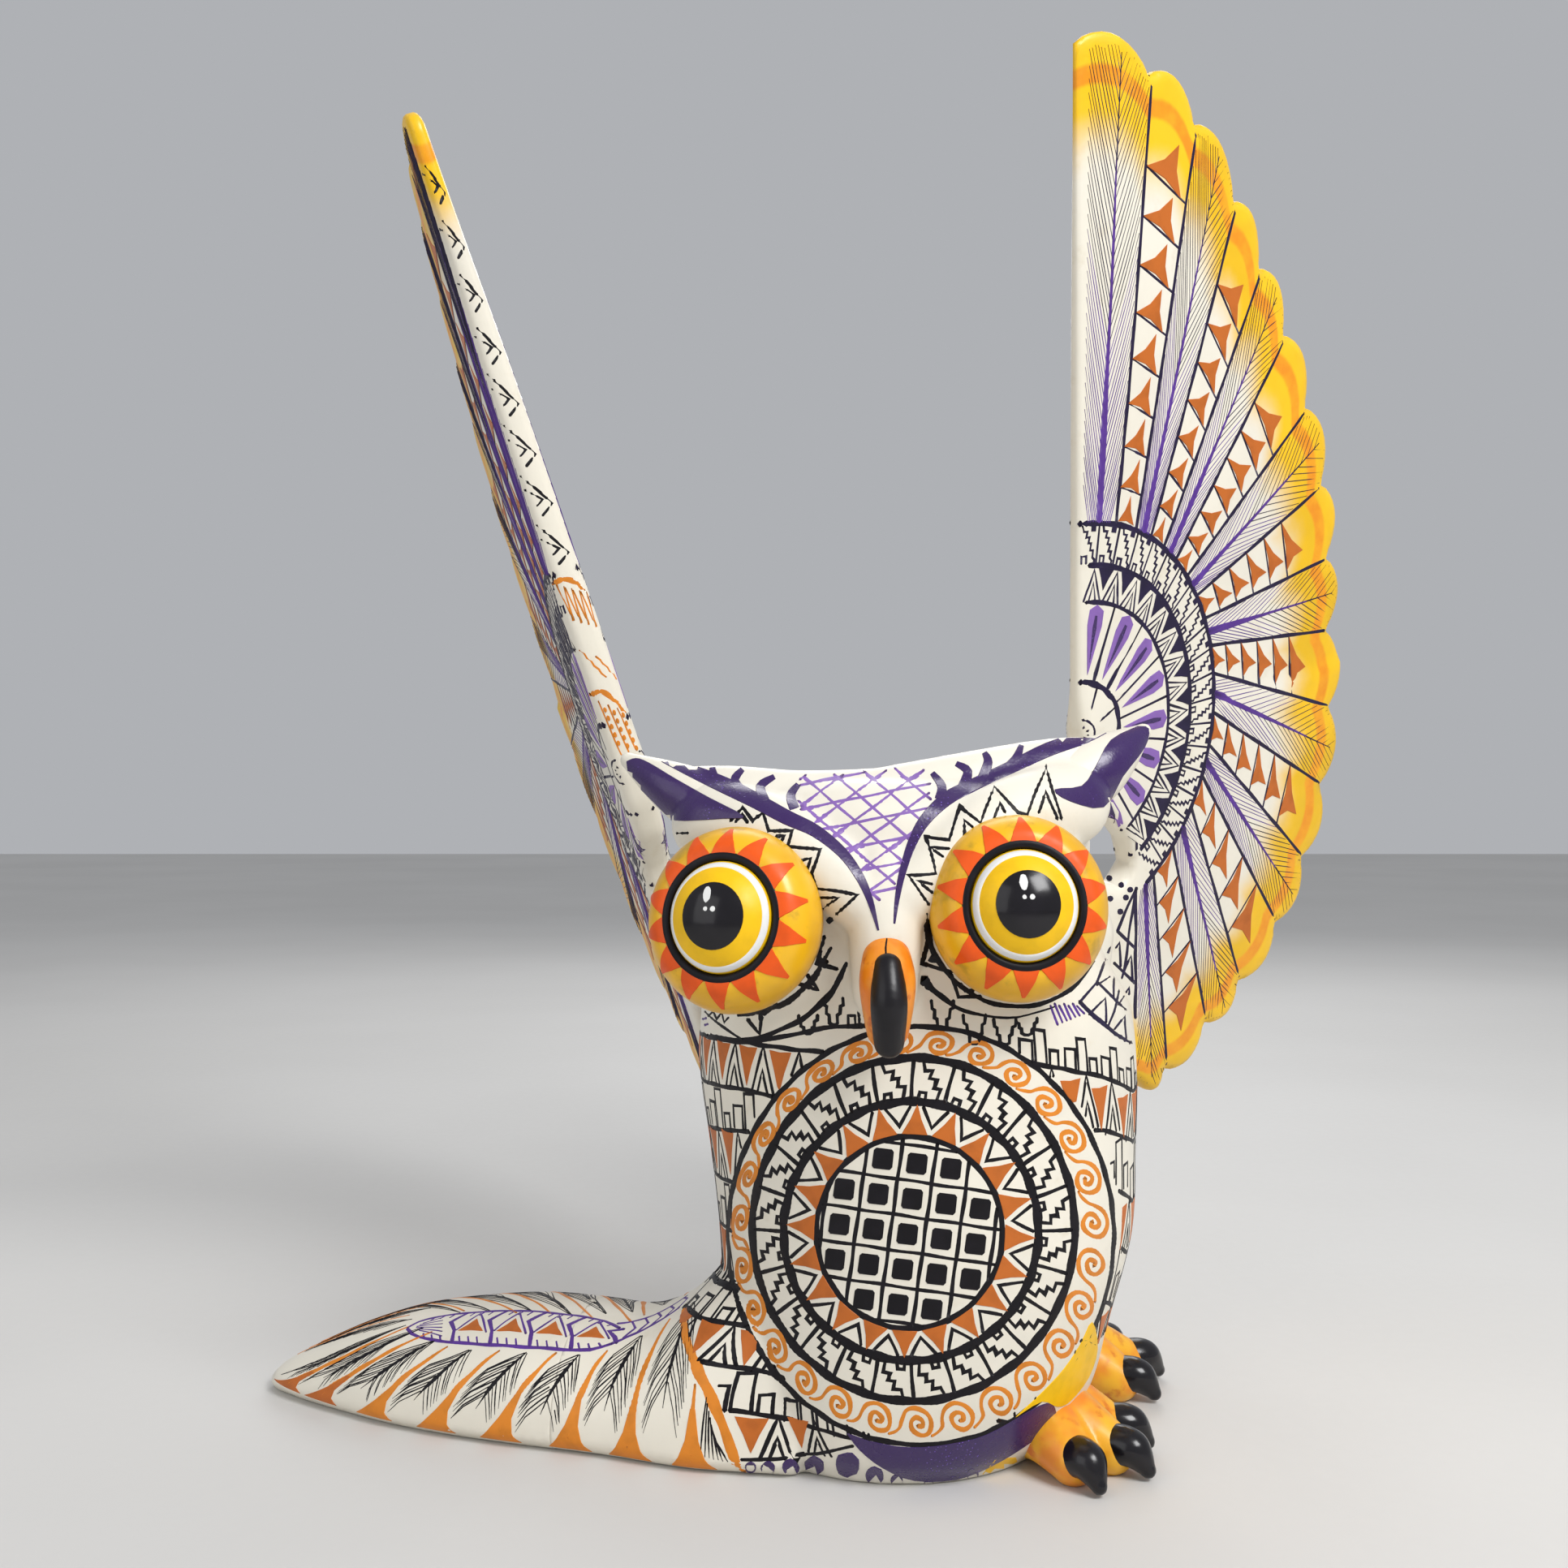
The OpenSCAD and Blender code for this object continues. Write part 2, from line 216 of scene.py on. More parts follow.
def press_flat(obj, floor):
    """Brings everything under the floor up to it, as a sawn base."""
    for v in obj.data.vertices:
        if v.co.z < floor * MM:
            v.co.z = floor * MM


def point_field(obj, name, values):
    attribute = obj.data.attributes.new(name, "FLOAT", "POINT")
    attribute.data.foreach_set("value", values)


# ---- materials -------------------------------------------------------------

class Nodes:
    """Short calls for building a node tree."""

    def __init__(self, name):
        self.material = bpy.data.materials.new(name)
        self.material.use_nodes = True
        self.tree = self.material.node_tree
        self.tree.nodes.clear()
        self.out = self.node("ShaderNodeOutputMaterial")
        self.shader = self.node("ShaderNodeBsdfPrincipled")
        self.link(self.shader.outputs[0], self.out.inputs[0])

    def node(self, kind, **settings):
        n = self.tree.nodes.new(kind)
        for key, value in settings.items():
            setattr(n, key, value)
        return n

    def link(self, a, b):
        self.tree.links.new(a, b)

    def feed(self, socket, value):
        if isinstance(value, bpy.types.NodeSocket):
            self.link(value, socket)
        else:
            socket.default_value = value

    def noise(self, scale, detail=3.0, stretch=(1, 1, 1), rough=0.55):
        where = self.node("ShaderNodeTexCoord").outputs["Object"]
        mapping = self.node("ShaderNodeMapping")
        mapping.inputs["Scale"].default_value = stretch
        self.link(where, mapping.inputs["Vector"])
        n = self.node("ShaderNodeTexNoise")
        self.link(mapping.outputs[0], n.inputs["Vector"])
        n.inputs["Scale"].default_value = scale
        n.inputs["Detail"].default_value = detail
        n.inputs["Roughness"].default_value = rough
        return n.outputs["Fac"]

    def ramp(self, value, a, b, low=0.0, high=1.0):
        """Smooth step from low at a to high at b."""
        n = self.node("ShaderNodeMapRange", interpolation_type="SMOOTHSTEP")
        self.feed(n.inputs["Value"], value)
        for key, v in (("From Min", a), ("From Max", b), ("To Min", low), ("To Max", high)):
            n.inputs[key].default_value = v
        return n.outputs[0]

    def math(self, operation, a, b=0.0):
        n = self.node("ShaderNodeMath", operation=operation)
        self.feed(n.inputs[0], a)
        self.feed(n.inputs[1], b)
        return n.outputs[0]

    def mix(self, amount, a, b):
        n = self.node("ShaderNodeMix", data_type="RGBA")
        self.feed(n.inputs[0], amount)
        for socket, colour in ((n.inputs[6], a), (n.inputs[7], b)):
            self.feed(socket, colour if isinstance(colour, bpy.types.NodeSocket) else (*colour, 1.0))
        return n.outputs[2]

    def field(self, name):
        return self.node("ShaderNodeAttribute", attribute_name=name).outputs["Fac"]

    def finish(self, colour, rough_low, rough_high, bumps, coat=0.0, specular=0.4):
        self.shader.inputs["Specular IOR Level"].default_value = specular
        self.link(colour, self.shader.inputs["Base Color"])
        roughness = self.ramp(self.noise(260, 4), 0.3, 0.7, rough_low, rough_high)
        self.link(roughness, self.shader.inputs["Roughness"])
        normal = None
        for height, distance, strength in bumps:
            bump = self.node("ShaderNodeBump")
            bump.inputs["Distance"].default_value = distance * MM
            bump.inputs["Strength"].default_value = strength
            self.link(height, bump.inputs["Height"])
            if normal:
                self.link(normal, bump.inputs["Normal"])
            normal = bump.outputs[0]
        self.link(normal, self.shader.inputs["Normal"])
        self.shader.inputs["Coat Weight"].default_value = coat
        self.shader.inputs["Coat Roughness"].default_value = 0.22
        return self.material


def shade(colour, factor):
    return tuple(c * factor for c in colour)


def wood_bumps(n):
    """Grain of the wood and the drag of the base coat."""
    return [(n.noise(90, 5, (1.0, 1.0, 0.16)), 0.25, 0.35), (n.noise(520, 3), 0.07, 0.5)]


def cream_colour(n):
    patches = n.mix(n.ramp(n.noise(28, 4), 0.35, 0.7), CREAM, shade(CREAM, 0.93))
    return n.mix(n.ramp(n.noise(160, 5), 0.58, 0.8), patches, CREAM_STAIN)


def cream_material():
    n = Nodes("cream_painted_wood")
    return n.finish(cream_colour(n), 0.36, 0.52, wood_bumps(n), 0.12)


def wing_material():
    """Cream that turns yellow towards the scalloped rim, with a gold arc just inside it."""
    n = Nodes("wing_painted_wood")
    ragged = n.math("MULTIPLY", n.math("SUBTRACT", n.noise(60, 4), 0.5), 9.0)
    rim = n.math("ADD", n.field("rim"), ragged)
    arc = n.math("ABSOLUTE", n.math("SUBTRACT", n.field("arc"), 6.8))
    yellow = n.mix(n.ramp(n.noise(45, 4), 0.35, 0.65), YELLOW, shade(YELLOW, 0.86))
    washed = n.mix(n.ramp(rim, 27.0, 13.0), cream_colour(n), yellow)
    gold = n.mix(n.ramp(n.noise(200, 3), 0.3, 0.7), ARC_GOLD, ARC_GOLD_BRIGHT)
    colour = n.mix(n.ramp(arc, 2.5, 1.3), washed, gold)
    return n.finish(colour, 0.34, 0.5, wood_bumps(n), 0.15)


def mottled_material(name, scale, base, second, third):
    """Paint in three tones that run into each other in patches."""
    n = Nodes(name)
    colour = n.mix(n.ramp(n.noise(scale, 3), 0.42, 0.6), base, second)
    colour = n.mix(n.ramp(n.noise(scale * 2.7, 4), 0.56, 0.72), colour, third)
    return n.finish(colour, 0.3, 0.45, wood_bumps(n), 0.25)


def paint_material(name, colour, rough=(0.36, 0.5), coat=0.0, spread=0.75, specular=0.3):
    """Brushed paint: a little thinner in places, with the drag of the brush."""
    n = Nodes(name)
    tone = n.mix(n.ramp(n.noise(210, 4), 0.4, 0.75), colour, shade(colour, spread))
    return n.finish(tone, *rough, [(n.noise(600, 3), 0.05, 0.4)], coat, specular)


def glitter_material(name, colour):
    """Violet paint with fine glitter in it."""
    n = Nodes(name)
    specks = n.node("ShaderNodeTexVoronoi")
    n.link(n.node("ShaderNodeTexCoord").outputs["Object"], specks.inputs["Vector"])
    specks.inputs["Scale"].default_value = 1400
    sparkle = n.ramp(specks.outputs["Distance"], 0.22, 0.08)
    colour = n.mix(n.math("MULTIPLY", sparkle, n.ramp(n.noise(90, 2), 0.5, 0.62)), colour, (0.22, 0.12, 0.62))
    return n.finish(colour, 0.2, 0.36, [(specks.outputs["Distance"], 0.08, 0.4)], 0.35)


def bare_wood_material():
    n = Nodes("bare_wood")
    rings = n.noise(60, 6, (1, 1, 0.1))
    colour = n.mix(n.ramp(rings, 0.35, 0.65), (0.48, 0.33, 0.19), (0.36, 0.23, 0.12))
    return n.finish(colour, 0.55, 0.75, [(rings, 0.1, 0.4)])


cream = cream_material()
wing_cream = wing_material()
bare_wood = bare_wood_material()
claw_black = paint_material("claw_black_gloss", BLACK, (0.14, 0.26), 0.3, 1.4)
beak_black = paint_material("beak_black", BLACK, (0.3, 0.42), 0.08, 1.4)
foot_orange = mottled_material("foot_orange", 70,
                               (0.78, 0.24, 0.015), (0.86, 0.44, 0.02), (0.62, 0.15, 0.008))
beak_orange = mottled_material("beak_orange", 130,
                               (0.76, 0.20, 0.008), (0.80, 0.27, 0.02), (0.60, 0.13, 0.005))
ring_yellow = mottled_material("ring_yellow", 60,
                               (0.84, 0.46, 0.006), (0.72, 0.38, 0.007), (0.52, 0.30, 0.012))
PAINTS = {
    "black": paint_material("black_line_paint", BLACK, spread=1.6, specular=0.2),
    "pupil": paint_material("pupil_black_gloss", BLACK, (0.12, 0.2), 0.2, 1.4),
    "navy": paint_material("navy_line_paint", NAVY, spread=1.5),
    "violet": glitter_material("violet_glitter_paint", VIOLET),
    "purple": paint_material("purple_line_paint", PURPLE, spread=1.3),
    "lilac": paint_material("lilac_paint", LILAC, spread=0.85),
    "orange": paint_material("burnt_orange_paint", ORANGE, spread=0.8),
    "gold": paint_material("gold_orange_paint", GOLD, spread=0.8),
    "vermilion": paint_material("vermilion_paint", VERMILION, spread=0.85),
    "yellow": paint_material("yellow_paint", YELLOW, spread=0.88),
    "white": paint_material("white_paint", WHITE, spread=0.93),
}


# ---- camera, floor and light -----------------------------------------------

# In metres, like the lamps
OWL_MIDDLE = Vector((0, 0, 0.13))


def make_stage():
    """Camera, floor, sky and lamps."""
    add_camera()
    add_floor()
    add_sky()
    area_light("key", (0.45, -0.55, 0.75), 0.4, 8.0)
    area_light("fill", (-0.75, -0.65, 0.45), 0.8, 2.0)
    area_light("back", (0.1, 0.8, 0.7), 0.6, 3.0)


def add_camera():
    camera = bpy.data.objects.new("camera", bpy.data.cameras.new("camera"))
    bpy.context.collection.objects.link(camera)
    camera.data.angle = math.radians(CAMERA_ANGLE)
    camera.data.clip_start = 0.01
    camera.location = CAMERA_AT * MM
    camera.rotation_euler = (math.radians(90), 0, 0)
    bpy.context.scene.camera = camera


def add_floor(reach=3):
    """Square floor that reaches this many metres to each side."""
    n = Nodes("pale_floor")
    tone = n.mix(n.ramp(n.noise(3, 3), 0.3, 0.7), (0.62, 0.61, 0.59), (0.66, 0.65, 0.63))
    material = n.finish(tone, 0.6, 0.7, [(n.noise(40, 3), 0.2, 0.1)])
    mesh = bpy.data.meshes.new("floor")
    corners = [(-reach, -reach, 0), (reach, -reach, 0), (reach, reach, 0), (-reach, reach, 0)]
    mesh.from_pydata(corners, [], [(0, 1, 2, 3)])
    mesh.materials.append(material)
    floor = bpy.data.objects.new("floor", mesh)
    bpy.context.collection.objects.link(floor)


def add_sky():
    world = bpy.data.worlds.new("studio")
    world.use_nodes = True
    background = world.node_tree.nodes["Background"]
    background.inputs["Color"].default_value = (0.78, 0.80, 0.84, 1)
    background.inputs["Strength"].default_value = 0.55
    bpy.context.scene.world = world
    bpy.context.scene.view_settings.view_transform = "Standard"


def area_light(name, place, size, power):
    """Square lamp that points at the middle of the owl."""
    light = bpy.data.lights.new(name, "AREA")
    light.size = size
    light.energy = power
    obj = bpy.data.objects.new(name, light)
    obj.location = place
    obj.rotation_euler = (OWL_MIDDLE - Vector(place)).to_track_quat("-Z", "Y").to_euler()
    bpy.context.collection.objects.link(obj)


# ---- trunk -----------------------------------------------------------------

# Height, centre x, centre y, half width, half depth
TRUNK_SECTIONS = [
    (0, -3, 4, 33, 31.5), (5, -2, 4, 37, 35.5), (14, 0, 4, 40, 39), (26, 1.5, 4, 41.5, 41.5),
    (45, 3.5, 4, 44.5, 43), (62, 3, 5, 46, 44), (80, 2, 6, 47.5, 44), (93, 1.5, 6, 46.5, 43),
    (102, -1, 4, 44, 40.5), (110, -3, 0, 42, 38), (120, -4, -2, 42, 36), (130, -5, -3, 43, 35),
    (137, -5, -3, 41.5, 32), (141, -5, -2, 36, 26), (142.5, -5, -1, 28, 18),
]
# Distance along the tail, half width, height
TAIL_SECTIONS = [
    (-22, 27, 50), (-8, 28, 42), (0, 28.3, 35.5), (8, 27.5, 28), (18, 26, 23.7), (31, 25, 24.2),
    (44, 24.2, 24.4), (58, 22.6, 22.9), (72, 19.8, 20.4), (84, 16, 16.4), (94, 12.4, 11.9),
    (101, 9.3, 8.4), (106, 5.9, 5.4), (108.3, 2.8, 3.5),
]
# Where the tail's own axes start and which way they turn, and where it is jointed to the trunk
TAIL_ROOT = Vector((-40, 5, 0))
TAIL_TURN = math.radians(166.7)
TAIL_SEAM = 31.0
# The tail is widest this far up, and its underside is this much narrower on each side
RIM_LIFT = 2.5
RIM_UNDERCUT = 3.0
SEAM_SPARE = 6.0       # made longer than the piece, then sawn off square
SAWN_OFF = 40.0        # longer than the spare, so that the saw clears it
# How far the slot for a wing reaches across it, and where its open end is
SLOT_ACROSS = 95.0
SLOT_MOUTH = -4.0
# Faces of a prism with four corners in front and four behind
PRISM_FACES = [(0, 1, 2, 3), (7, 6, 5, 4)] + [(i + 4, (i + 1) % 4 + 4, (i + 1) % 4, i) for i in range(4)]


def section_rings(sections, step, ring):
    """Rings at even steps between the given sections."""
    first, last = sections[0][0], sections[-1][0]
    count = max(2, round((last - first) / step))
    tracks = [[(s[0], s[k]) for s in sections] for k in range(1, len(sections[0]))]
    stops = [first + (last - first) * i / count for i in range(count + 1)]
    return [ring(stop, *(table(track, stop) for track in tracks)) for stop in stops]


def trunk_ring(z, cx, cy, rx, ry, segments=96):
    return [Vector((cx + rx * math.cos(a), cy + ry * math.sin(a), z)) for a in round_turn(segments)]


def tail_place(along, across, z):
    """Point of the tail's own axes in the frame of the owl."""
    return TAIL_ROOT + Vector((along * math.cos(TAIL_TURN) - across * math.sin(TAIL_TURN),
                               along * math.sin(TAIL_TURN) + across * math.cos(TAIL_TURN), z))


def tail_ring(along, half, height, segments=48):
    """Arched section of the tail, flat underneath."""
    lift = RIM_LIFT if height > 2 * RIM_LIFT else height / 3
    arch = [tail_place(along, half * math.cos(a), lift + (height - lift) * math.sin(a) ** 0.8)
            for a in (math.pi * i / segments for i in range(segments + 1))]
    under = half - min(RIM_UNDERCUT, half / 3)
    return arch + [tail_place(along, -under, 0), tail_place(along, under, 0)]


def tail_rings(first, last, step=1.5):
    """Rings of the tail between two distances along it."""
    halves = [(s[0], s[1]) for s in TAIL_SECTIONS]
    heights = [(s[0], s[2]) for s in TAIL_SECTIONS]
    at = lambda u: (u, table(halves, u), table(heights, u))
    between = [s for s in TAIL_SECTIONS if first < s[0] < last]
    return section_rings([at(first), *between, at(last)], step, tail_ring)


def box_cutter(name, corner_points, half_thickness, place):
    """Prism with an outline of four corners in the plane of a wing."""
    corners = [place(Vector((x, y, z))) for z in (half_thickness, -half_thickness) for x, y in corner_points]
    obj = mesh_object(name, corners, PRISM_FACES, bare_wood, "figure", smooth=False)
    face_outwards(obj)
    return obj


def trunk_shapes():
    """Solids that are fused into the trunk and the head."""
    return [
        loft(section_rings(TRUNK_SECTIONS, 2.0, trunk_ring)),
        loft(tail_rings(TAIL_SECTIONS[0][0], TAIL_SEAM + SEAM_SPARE)),
        # shoulders under the wings
        horn([(30, 30, 82), (36, 27, 105)], [18, 13.5]),
        horn([(-30, 27, 78), (-33, 24, 99)], [17, 12.5]),
        # brows from the ears down to the beak
        horn([(31, -18, 136), (14, -30, 131), (-4, -38, 118)], [9, 8.5, 6.5]),
        horn([(-41, -22, 132), (-27, -31, 128.5), (-11, -38, 117)], [9, 8.5, 6.5]),
        horn([(34, -13.5, 145), (25, -16, 143.2), (12, -19, 140.2), (-8, -21, 136.8)], [5, 5.9, 6.7, 6.5]),
        horn([(-47, -18.5, 139.6), (-38, -20, 138.2), (-24, -21, 136.4), (-8, -21, 136.8)],
             [4.2, 5.7, 6.5, 6.5]),
        # ridge of the beak
        horn([(-7.5, -36, 122), (-7.5, -39, 112), (-7.5, -38, 100)], [6.5, 7, 6.5]),
        # cheeks behind the eyes
        ball((17, -24, 115.5), (20, 16, 19)),
        ball((-30, -22, 113), (19, 16, 19)),
    ]


def wing_cutters(wing):
    """Open slot for the root of a wing, and the mortise in its floor for the tenon."""
    floor, side = ROOT_FLOOR - GAP, ROOT_SIDE - GAP
    slot = [(floor, side), (floor, SLOT_ACROSS), (SLOT_MOUTH, SLOT_ACROSS), (SLOT_MOUTH, side)]
    deep, open_end = ROOT_FLOOR - TENON_LEN - 1, ROOT_FLOOR + 1
    near, far = TENON_SIDE - GAP, TENON_SIDE + TENON_W + GAP
    mortise = [(deep, near), (deep, far), (open_end, far), (open_end, near)]
    return [box_cutter("slot", [root_point(*p) for p in slot], WING_T / 2 + GAP, wing.place),
            box_cutter("mortise", [root_point(*p) for p in mortise], TENON_T / 2 + GAP, wing.place)]


def make_trunk():
    cutters = [saw_block(TAIL_SEAM, TAIL_SEAM + SAWN_OFF)]
    for wing in WINGS:
        cutters += wing_cutters(wing)
    trunk = carved("trunk_carved", trunk_shapes(), 0.9, 9, cutters, 0.0, cream)
    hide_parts("trunk")
    return trunk


def saw_block(first, last):
    """Block across the tail between two distances along it."""
    ring = lambda u: [tail_place(u, x, z) for x, z in ((-60, -20), (60, -20), (60, 90), (-60, 90))]
    verts, faces = loft([ring(first), ring(last)])
    obj = mesh_object("saw", verts, faces, cream, "figure", smooth=False)
    face_outwards(obj)
    return obj


def face_outwards(obj):
    """Turns every face of a closed mesh to face out."""
    clean = bmesh.new()
    clean.from_mesh(obj.data)
    bmesh.ops.recalc_face_normals(clean, faces=clean.faces)
    clean.to_mesh(obj.data)
    clean.free()


def make_tail():
    whole = loft(tail_rings(TAIL_SEAM - SEAM_SPARE, TAIL_SECTIONS[-1][0], 1.2))
    saw = saw_block(TAIL_SEAM - SAWN_OFF, TAIL_SEAM + 0.02)
    tail = carved("tail_carved", [whole], 0.7, 3, [saw], 0.0, cream)
    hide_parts("tail")
    return tail


# ---- wings -----------------------------------------------------------------

# Thickness of a wing board, then the tenon on its root: thickness, length, near side and width
WING_T = 8.0
TENON_T = 5.0
TENON_LEN = 22.0
TENON_SIDE = 25.0
TENON_W = 15.0
# Play round the root and the tenon
GAP = 0.3
# A wing is pulled out along this line in its own plane; the root ends square to it and beside it
PULL_ANGLE = math.radians(46.5)
ROOT_FLOOR = -44.3
ROOT_SIDE = 23.3
WING_ROLL = 13.5
# Angle from the leading edge and radius of each notch between two feathers
NOTCHES = [(8.5, 140.4), (15.1, 133.7), (23.1, 122.6), (30.2, 113.4), (38.7, 105.9), (49, 99.5), (60.8, 94.4),
           (72.3, 90), (84.4, 87.5), (97.7, 89.8), (110.8, 93), (122.7, 95.9), (133.7, 98.3), (144.6, 98.5),
           (153.3, 98.6), (162.9, 100.7)]
FAN_STOPS = [(0, 145), *NOTCHES, (168, 99)]
# How far the end of each feather stands out between its notches
BULGE = 4.5
EDGE_ROUNDING = 2.6
BOARD_PITCH = 2.2
# A board has rings of points at these distances from its edge, then a grid
BOARD_RINGS = (0.35, 1.1, 2.4)
GRID_MARGIN = 3.4
# Value of the rim fields where the board stays cream
FAR_FROM_RIM = 60.0
# Radii of the painted rings round the middle of the fan
RINGS = (47.8, 38.5, 30.2, 11.8)


def polar(angle, radius):
    """Point in the plane of a wing at an angle from its leading edge."""
    a = math.radians(angle)
    return radius * math.sin(a), radius * math.cos(a)


def root_point(along, across):
    """Point in the plane of a wing, along and across the way it is pulled out."""
    return (along * math.cos(PULL_ANGLE) + across * math.sin(PULL_ANGLE),
            along * math.sin(PULL_ANGLE) - across * math.cos(PULL_ANGLE))


def rim_radius(angle):
    """Radius of the scalloped rim at an angle, and the smooth radius without the scallops."""
    a = min(max(angle, 0), FAN_STOPS[-1][0])
    i = max(j for j in range(len(FAN_STOPS) - 1) if FAN_STOPS[j][0] <= a)
    (a0, r0), (a1, r1) = FAN_STOPS[i], FAN_STOPS[i + 1]
    t = (a - a0) / (a1 - a0)
    base = r0 + (r1 - r0) * t
    return base + BULGE * math.sin(math.pi * t) ** 0.8, base


def fan_outline(per_feather=9):
    """Points along the scalloped rim."""
    points = []
    for (a0, _), (a1, _) in zip(FAN_STOPS, FAN_STOPS[1:]):
        for k in range(per_feather):
            a = a0 + (a1 - a0) * k / per_feather
            points.append(polar(a, rim_radius(a + 1e-6)[0]))
    return points


def wing_outline():
    leading_edge = [(0, r) for r in range(0, 144, 12)]
    # the root, then the hollow between it and the leading edge
    lower = [polar(*FAN_STOPS[-1]), (11, -88), root_point(ROOT_FLOOR, 50), root_point(ROOT_FLOOR, ROOT_SIDE),
             root_point(-33, ROOT_SIDE), (5, -38), (13, -41), (17, -37), (15, -30), (11, -25), (5, -18),
             (1.5, -9)]
    return dense(leading_edge + fan_outline() + lower, 3.0)


def dense(points, longest):
    """Closed outline with no edge longer than a limit."""
    out = []
    for a, b in zip(points, points[1:] + points[:1]):
        steps = max(1, math.ceil(math.dist(a, b) / longest))
        out += [(a[0] + (b[0] - a[0]) * k / steps, a[1] + (b[1] - a[1]) * k / steps) for k in range(steps)]
    return out


def inside(points, outline):
    """Whether each point lies in a closed outline."""
    p = np.asarray(points)
    poly = np.asarray(outline)
    nxt = np.roll(poly, -1, axis=0)
    hit = np.zeros(len(p), bool)
    for (x0, y0), (x1, y1) in zip(poly, nxt):
        crosses = (y0 > p[:, 1]) != (y1 > p[:, 1])
        if y0 != y1:
            hit ^= crosses & (p[:, 0] < (x1 - x0) * (p[:, 1] - y0) / (y1 - y0) + x0)
    return hit


def edge_distance(points, outline):
    """Distance of each point from a closed outline."""
    p = np.asarray(points)[:, None, :]
    a = np.asarray(outline)[None]
    b = np.roll(np.asarray(outline), -1, axis=0)[None]
    ab = b - a
    t = np.clip(((p - a) * ab).sum(2) / np.maximum((ab * ab).sum(2), 1e-9), 0, 1)
    return np.linalg.norm(p - a - ab * t[..., None], axis=2).min(1)


def grid_inside(outline, pitch, start, margin):
    """Points of a square grid that lie in an outline and clear of its edge."""
    poly = np.asarray(outline)
    (x0, y0), (x1, y1) = poly.min(0) + start, poly.max(0)
    grid = np.asarray([(x, y) for x in np.arange(x0, x1, pitch) for y in np.arange(y0, y1, pitch)])
    if len(grid):
        grid = grid[inside(grid, outline)]
    if len(grid):
        grid = grid[edge_distance(grid, outline) > margin]
    return [tuple(p) for p in grid]


def triangulated(outline, others):
    """Corners and triangles that fill an outline, with the other points used as corners too."""
    n = len(outline)
    ring = [(i, (i + 1) % n) for i in range(n)]
    points = [Vector(p) for p in [*outline, *others]]
    flat, _, triangles, _, _, _ = geometry.delaunay_2d_cdt(points, ring, [], 1, 1e-4)
    return flat, triangles


def edge_rings(outline):
    """Rings of points just inside the edge of a board."""
    poly = np.asarray(outline)
    along = np.roll(poly, -1, axis=0) - np.roll(poly, 1, axis=0)
    length = np.maximum(np.linalg.norm(along, axis=1)[:, None], 1e-9)
    inward = np.stack([along[:, 1], -along[:, 0]], 1) / length
    points = []
    for step in BOARD_RINGS:
        moved = poly + inward * step
        keep = inside(moved, outline) & (edge_distance(moved, outline) > step * 0.8)
        points += [tuple(p) for p in moved[keep]]
    return points


def facing_up(triangle, flat):
    """The same triangle, turned to face +z."""
    a, b, c = (flat[i] for i in triangle)
    turn = (b[0] - a[0]) * (c[1] - a[1]) - (b[1] - a[1]) * (c[0] - a[0])
    return tuple(triangle) if turn > 0 else tuple(reversed(triangle))


def board(outline, thickness):
    """Flat board with rounded edges: vertices (x, y, z) and faces."""
    grid = grid_inside(outline, BOARD_PITCH, 0, GRID_MARGIN)
    flat, triangles = triangulated(outline, edge_rings(outline) + grid)
    flat = np.array([tuple(p) for p in flat])
    fall = np.clip(EDGE_ROUNDING - edge_distance(flat, outline), 0, EDGE_ROUNDING)
    height = thickness / 2 - EDGE_ROUNDING + np.sqrt(np.maximum(EDGE_ROUNDING**2 - fall**2, 0))
    front = [(x, y, h) for (x, y), h in zip(flat, height)]
    back = [(x, y, -h) for (x, y), h in zip(flat, height)]
    m = len(flat)
    triangles = [facing_up(t, flat) for t in triangles]
    faces = triangles + [tuple(i + m for i in reversed(t)) for t in triangles]
    edges = dict.fromkeys(edge for t in triangles for edge in zip(t, t[1:] + t[:1]))
    faces += [(b, a, a + m, b + m) for a, b in edges if (b, a) not in edges]
    return front + back, faces


def rim_fields(x, y):
    """Distances inside the rim that place the yellow wash and the gold arc."""
    angle, r = math.degrees(math.atan2(x, y)), math.hypot(x, y)
    if angle < -2 or angle > 172:
        return FAR_FROM_RIM, FAR_FROM_RIM
    scalloped, smooth = rim_radius(angle)
    # near the middle of the fan the wash fades three times as fast
    wash = (scalloped - r) * (1 if r > 20 else 3)
    return max(0.0, wash), max(0.0, scalloped * 0.7 + smooth * 0.3 - r)


